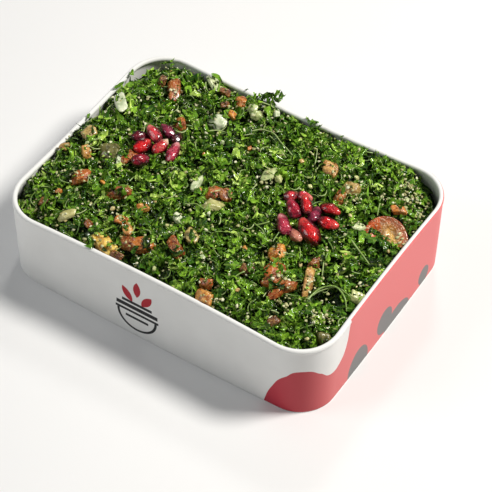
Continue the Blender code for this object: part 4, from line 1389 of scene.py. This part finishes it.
def print_material():
    """The outer wall: white board with a generic sprout mark in front and a wavy field on the right."""
    nodes = Nodes("printed_board")
    uv = nodes.add("ShaderNodeUVMap", uv_map="PrintMap").outputs[0]
    s, z, _ = nodes.split(uv)           # millimetres round the wall and up it
    place = nodes.place()
    fibre = nodes.noise(1400.0, 3.0, place)
    cloud = nodes.noise(60.0, 2.0, place)
    white = nodes.ramp(cloud, ((0.3, (0.80, 0.80, 0.78)), (0.7, (0.84, 0.84, 0.82))))

    def disc(cx, cz, radius, soft=0.12):
        dist = nodes.math("SQRT", nodes.math(
            "ADD", nodes.math("POWER", nodes.math("SUBTRACT", s, cx), 2.0),
            nodes.math("POWER", nodes.math("SUBTRACT", z, cz), 2.0)))
        return nodes.band(dist, radius - soft, radius + soft, 1.0, 0.0)

    def ellipse(cx, cz, rx, rz, soft=0.03):
        dist = nodes.math("SQRT", nodes.math(
            "ADD", nodes.math("POWER", nodes.math("DIVIDE", nodes.math("SUBTRACT", s, cx), rx), 2.0),
            nodes.math("POWER", nodes.math("DIVIDE", nodes.math("SUBTRACT", z, cz), rz), 2.0)))
        return nodes.band(dist, 1 - soft, 1 + soft, 1.0, 0.0)

    # The field's upper edge, as a height that follows the distance round the wall
    edge = nodes.add("ShaderNodeFloatCurve")
    curve = edge.mapping.curves[0]
    stops = FIELD_EDGE
    span = stops[-1][0] - stops[0][0]
    while len(curve.points) < len(stops):
        curve.points.new(0.5, 0.5)
    for point, (at, height) in zip(curve.points, stops):
        point.location = ((at - stops[0][0]) / span, height / 60)
    edge.mapping.update()
    nodes.put(nodes.math("DIVIDE", nodes.math("SUBTRACT", s, stops[0][0]), span), edge.inputs["Value"])
    top = nodes.math("MULTIPLY", edge.outputs[0], 60.0)
    field = nodes.band(nodes.math("SUBTRACT", top, z), -0.12, 0.12)
    start = nodes.band(s, stops[0][0], stops[0][0] + 0.2)
    stop = nodes.band(s, stops[-1][0] - 0.2, stops[-1][0], 1.0, 0.0)
    field = nodes.math("MULTIPLY", field, nodes.math("MULTIPLY", start, stop))
    # The field's print red, dark at the shaded front end and lightened to pink along the right face as painted light
    # and sheen
    field_red_with_painted_sheen = nodes.ramp(nodes.math("DIVIDE", nodes.math("SUBTRACT", s, 60.0), 60.0),
                      ((0.0, (0.47, 0.023, 0.046)), (0.35, (0.52, 0.050, 0.065)), (0.62, (0.66, 0.150, 0.152)),
                       (1.0, (0.74, 0.185, 0.188))))
    colour = nodes.mix(field, white, field_red_with_painted_sheen)
    grey = None
    for shape in FIELD_SPOTS:
        mask = ellipse(*shape)
        grey = mask if grey is None else nodes.math("MAXIMUM", grey, mask)
    grey = nodes.math("MULTIPLY", grey, field)
    colour = nodes.mix(grey, colour, (0.20, 0.20, 0.20))
    # The mark: red leaves over plain bars and a bowl's outline
    mark, size = MARK_PLACE, MARK_SIZE
    leaf = None
    for lean in (-1, 1):
        one = nodes.math("MULTIPLY", disc(mark[0] + lean * 1.0 * size, mark[1] + 13.4 * size, 6.4 * size),
                         disc(mark[0] + lean * 8.6 * size, mark[1] + 8.4 * size, 6.4 * size))
        leaf = one if leaf is None else nodes.math("MAXIMUM", leaf, one)
    upright = nodes.math("MULTIPLY", disc(mark[0] - 4.6 * size, mark[1] + 15.6 * size, 6.4 * size),
                         disc(mark[0] + 4.6 * size, mark[1] + 15.6 * size, 6.4 * size))
    leaf = nodes.math("MAXIMUM", leaf, upright)
    colour = nodes.mix(leaf, colour, (0.42, 0.008, 0.02))
    ring = nodes.math("MULTIPLY", disc(mark[0], mark[1], 9.8 * size),
                      nodes.math("SUBTRACT", 1.0, disc(mark[0], mark[1], 8.6 * size)))
    ring = nodes.math("MULTIPLY", ring, nodes.band(z, mark[1] + 0.4, mark[1] + 0.2))
    bars = None
    for offset, wide, thick in ((6.6, 7.4, 0.8), (3.8, 10.2, 1.1), (0.9, 10.6, 0.7), (-2.4, 5.6, 0.7)):
        beside = nodes.math("ABSOLUTE", nodes.math("SUBTRACT", s, mark[0]))
        above = nodes.math("ABSOLUTE", nodes.math("SUBTRACT", z, mark[1] + offset * size))
        bar = nodes.math("MULTIPLY", nodes.band(beside, wide * size - 0.1, wide * size + 0.1, 1.0, 0.0),
                         nodes.band(above, thick * size - 0.1, thick * size + 0.1, 1.0, 0.0))
        bars = bar if bars is None else nodes.math("MAXIMUM", bars, bar)
    black = nodes.math("MAXIMUM", ring, bars)
    colour = nodes.mix(black, colour, (0.015, 0.015, 0.016))
    nodes.bump(fibre, 0.1, 0.0002)
    return nodes.finish(colour, 0.5, Specular_IOR_Level=0.25)


PRINTED_BEAD = 6                # rings of the rolled rim that the wall's print reaches over
# Distance round the wall from the front's middle, and the printed field's height there
FIELD_EDGE = ((61.0, 0.0), (66.0, 14.0), (74.0, 26.0), (82.0, 31.0), (90.0, 27.0), (97.0, 22.0), (104.0, 24.0),
              (109.0, 33.0), (113.0, 50.0), (215.0, 50.0), (222.0, 30.0), (232.0, 0.0))
# Plain rounded spots in the field: place round the wall, height, half width, half height
FIELD_SPOTS = ((122.0, 2.0, 9.0, 12.0), (146.0, 10.0, 7.0, 8.0), (158.0, 0.0, 12.0, 9.0), (184.0, 6.0, 5.0, 6.0))
MARK_PLACE = (-8.6, 15.0)
MARK_SIZE = 1.15


def make_bowl():
    """The paper bowl with its rolled rim, folded skirt and set-up base panel."""
    bead_z = HEIGHT - BEAD_RADIUS
    start = -math.degrees(math.acos(BEAD_INSET / BEAD_RADIUS))
    end = 360 - math.degrees(math.acos((BEAD_INSET - WALL) / BEAD_RADIUS))
    under = [(SKIRT_WIDTH, SKIRT_DEPTH), (SKIRT_WIDTH, 0.15), (SKIRT_WIDTH - 0.15, 0.0), (0.45, 0.0),
             (0.13, 0.12), (0.0, 0.45)]
    outer = [(0.0, z) for z in np.linspace(2.0, HEIGHT - 3.0, 14)]
    bead = arc(BEAD_INSET, bead_z, BEAD_RADIUS, start, end, 20)
    inner = [(WALL, z) for z in np.linspace(HEIGHT - 4.0, FLOOR_TOP + 4.0, 8)]
    fillet = arc(WALL + 3.0, FLOOR_TOP + 3.0, 3.0, 0, -90, 6)
    profile = under + outer + bead + inner + fillet
    rings = [ring_at(z, inset) for inset, z in profile]
    count = len(rings[0])
    verts = np.concatenate(rings)
    faces = []
    for k in range(len(rings) - 1):
        for i in range(count):
            j = (i + 1) % count
            faces.append((k * count + i, k * count + j, (k + 1) * count + j, (k + 1) * count + i))
    faces.append(tuple(range(count))[::-1])
    faces.append(tuple((len(rings) - 1) * count + i for i in range(count)))
    bowl = add_mesh("paper_bowl", verts, faces, [paper_material(), print_material()])
    mesh = bowl.data
    first, last = len(under) - 1, len(under) + len(outer) + PRINTED_BEAD
    slots = np.zeros(len(mesh.polygons), np.int32)
    slots[first * count:last * count] = 1
    mesh.polygons.foreach_set("material_index", slots)
    layer = mesh.uv_layers.new(name="PrintMap")
    base = rings[len(under) + 6]
    gaps = np.linalg.norm(np.diff(np.vstack((base, base[:1])), axis=0)[:, :2], axis=1)
    begin = np.concatenate(((0,), np.cumsum(gaps)))
    # Point 0 is where the front side meets the right corner, half a front side from the middle.
    shift = base[0][0]
    total = begin[-1]
    ids = np.zeros(len(mesh.loops), np.int32)
    mesh.loops.foreach_get("vertex_index", ids)
    column, row = ids % count, ids // count
    wrapped = begin[column] + shift
    polygon_of = np.repeat(np.arange(len(mesh.polygons)), [len(p.vertices) for p in mesh.polygons])
    quad_column = polygon_of % count
    wrapped = np.where((column == 0) & (quad_column == count - 1), total + shift, wrapped)
    front_left = shift + total - 2 * base[0][0]
    wrapped = np.where(begin[quad_column] + shift > total / 2 + 30, wrapped - total, wrapped)
    uv = np.stack((wrapped, verts[ids, 2]), 1)
    layer.data.foreach_set("uv", uv.astype(np.float32).ravel())
    mesh.set_sharp_from_angle(angle=math.radians(50))
    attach(bowl, "root")
    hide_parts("bowl")


# ---------------------------------------------------------------- floor, light and camera

def make_stage():
    nodes = Nodes("pale_floor")
    cloud = nodes.noise(3.0, 2.0, nodes.place())
    colour = nodes.ramp(cloud, ((0.3, (0.80, 0.80, 0.80)), (0.7, (0.83, 0.83, 0.83))))
    floor = add_mesh("floor", np.array(((-3000, -3000, 0), (3000, -3000, 0), (3000, 3000, 0), (-3000, 3000, 0))),
                     [(0, 1, 2, 3)], nodes.finish(colour, 0.6))


def aim(thing, target):
    thing.rotation_mode = "QUATERNION"
    thing.rotation_quaternion = (Vector(target) - thing.location).to_track_quat("-Z", "Y")


def add_light(name, place, size, power, colour):
    light = bpy.data.lights.new(name, "AREA")
    light.shape = "DISK"
    light.size = size
    light.energy = power
    light.color = colour
    holder = bpy.data.objects.new(name, light)
    holder.location = place
    bpy.context.scene.collection.objects.link(holder)
    aim(holder, (0, 0, 0.03))


def make_lights():
    world = bpy.data.worlds.new("studio")
    bpy.context.scene.world = world
    world.use_nodes = True
    background = world.node_tree.nodes["Background"]
    background.inputs["Color"].default_value = (0.95, 0.97, 1.0, 1.0)
    background.inputs["Strength"].default_value = 0.11
    add_light("key", (0.72, 0.46, 1.19), 0.36, 23.5, (1.0, 0.97, 0.92))
    add_light("back", (-0.35, 0.85, 1.0), 0.22, 2.6, (1.0, 0.99, 0.96))
    add_light("fill", (-0.85, -0.75, 0.85), 0.7, 4.8, (0.97, 0.99, 1.0))


def make_camera():
    camera = bpy.data.cameras.new("camera")
    camera.sensor_width = 36.0
    camera.lens = 140.05
    holder = bpy.data.objects.new("camera", camera)
    azimuth, elevation, roll = math.radians(31.89), math.radians(48.44), math.radians(1.04)
    back = Vector((math.sin(azimuth) * math.cos(elevation), -math.cos(azimuth) * math.cos(elevation),
                   math.sin(elevation)))
    level = Vector((math.cos(azimuth), math.sin(azimuth), 0))
    upright = back.cross(level)
    right = level * math.cos(roll) + upright * math.sin(roll)
    up = upright * math.cos(roll) - level * math.sin(roll)
    distance, aim_right, aim_up = 0.94971, 0.00887, 0.00517
    place = back * distance + right * aim_right + up * aim_up
    holder.matrix_world = Matrix((
        (right.x, up.x, back.x, place.x), (right.y, up.y, back.y, place.y),
        (right.z, up.z, back.z, place.z), (0, 0, 0, 1)))
    bpy.context.scene.collection.objects.link(holder)
    bpy.context.scene.camera = holder
    bpy.context.scene.view_settings.view_transform = "Standard"


make_camera()
make_lights()
make_stage()
make_bowl()
make_core()
make_leaves()
make_stalks()
make_grains()
make_dice()
make_arils()
make_wedge()
make_wedge_trimmings()
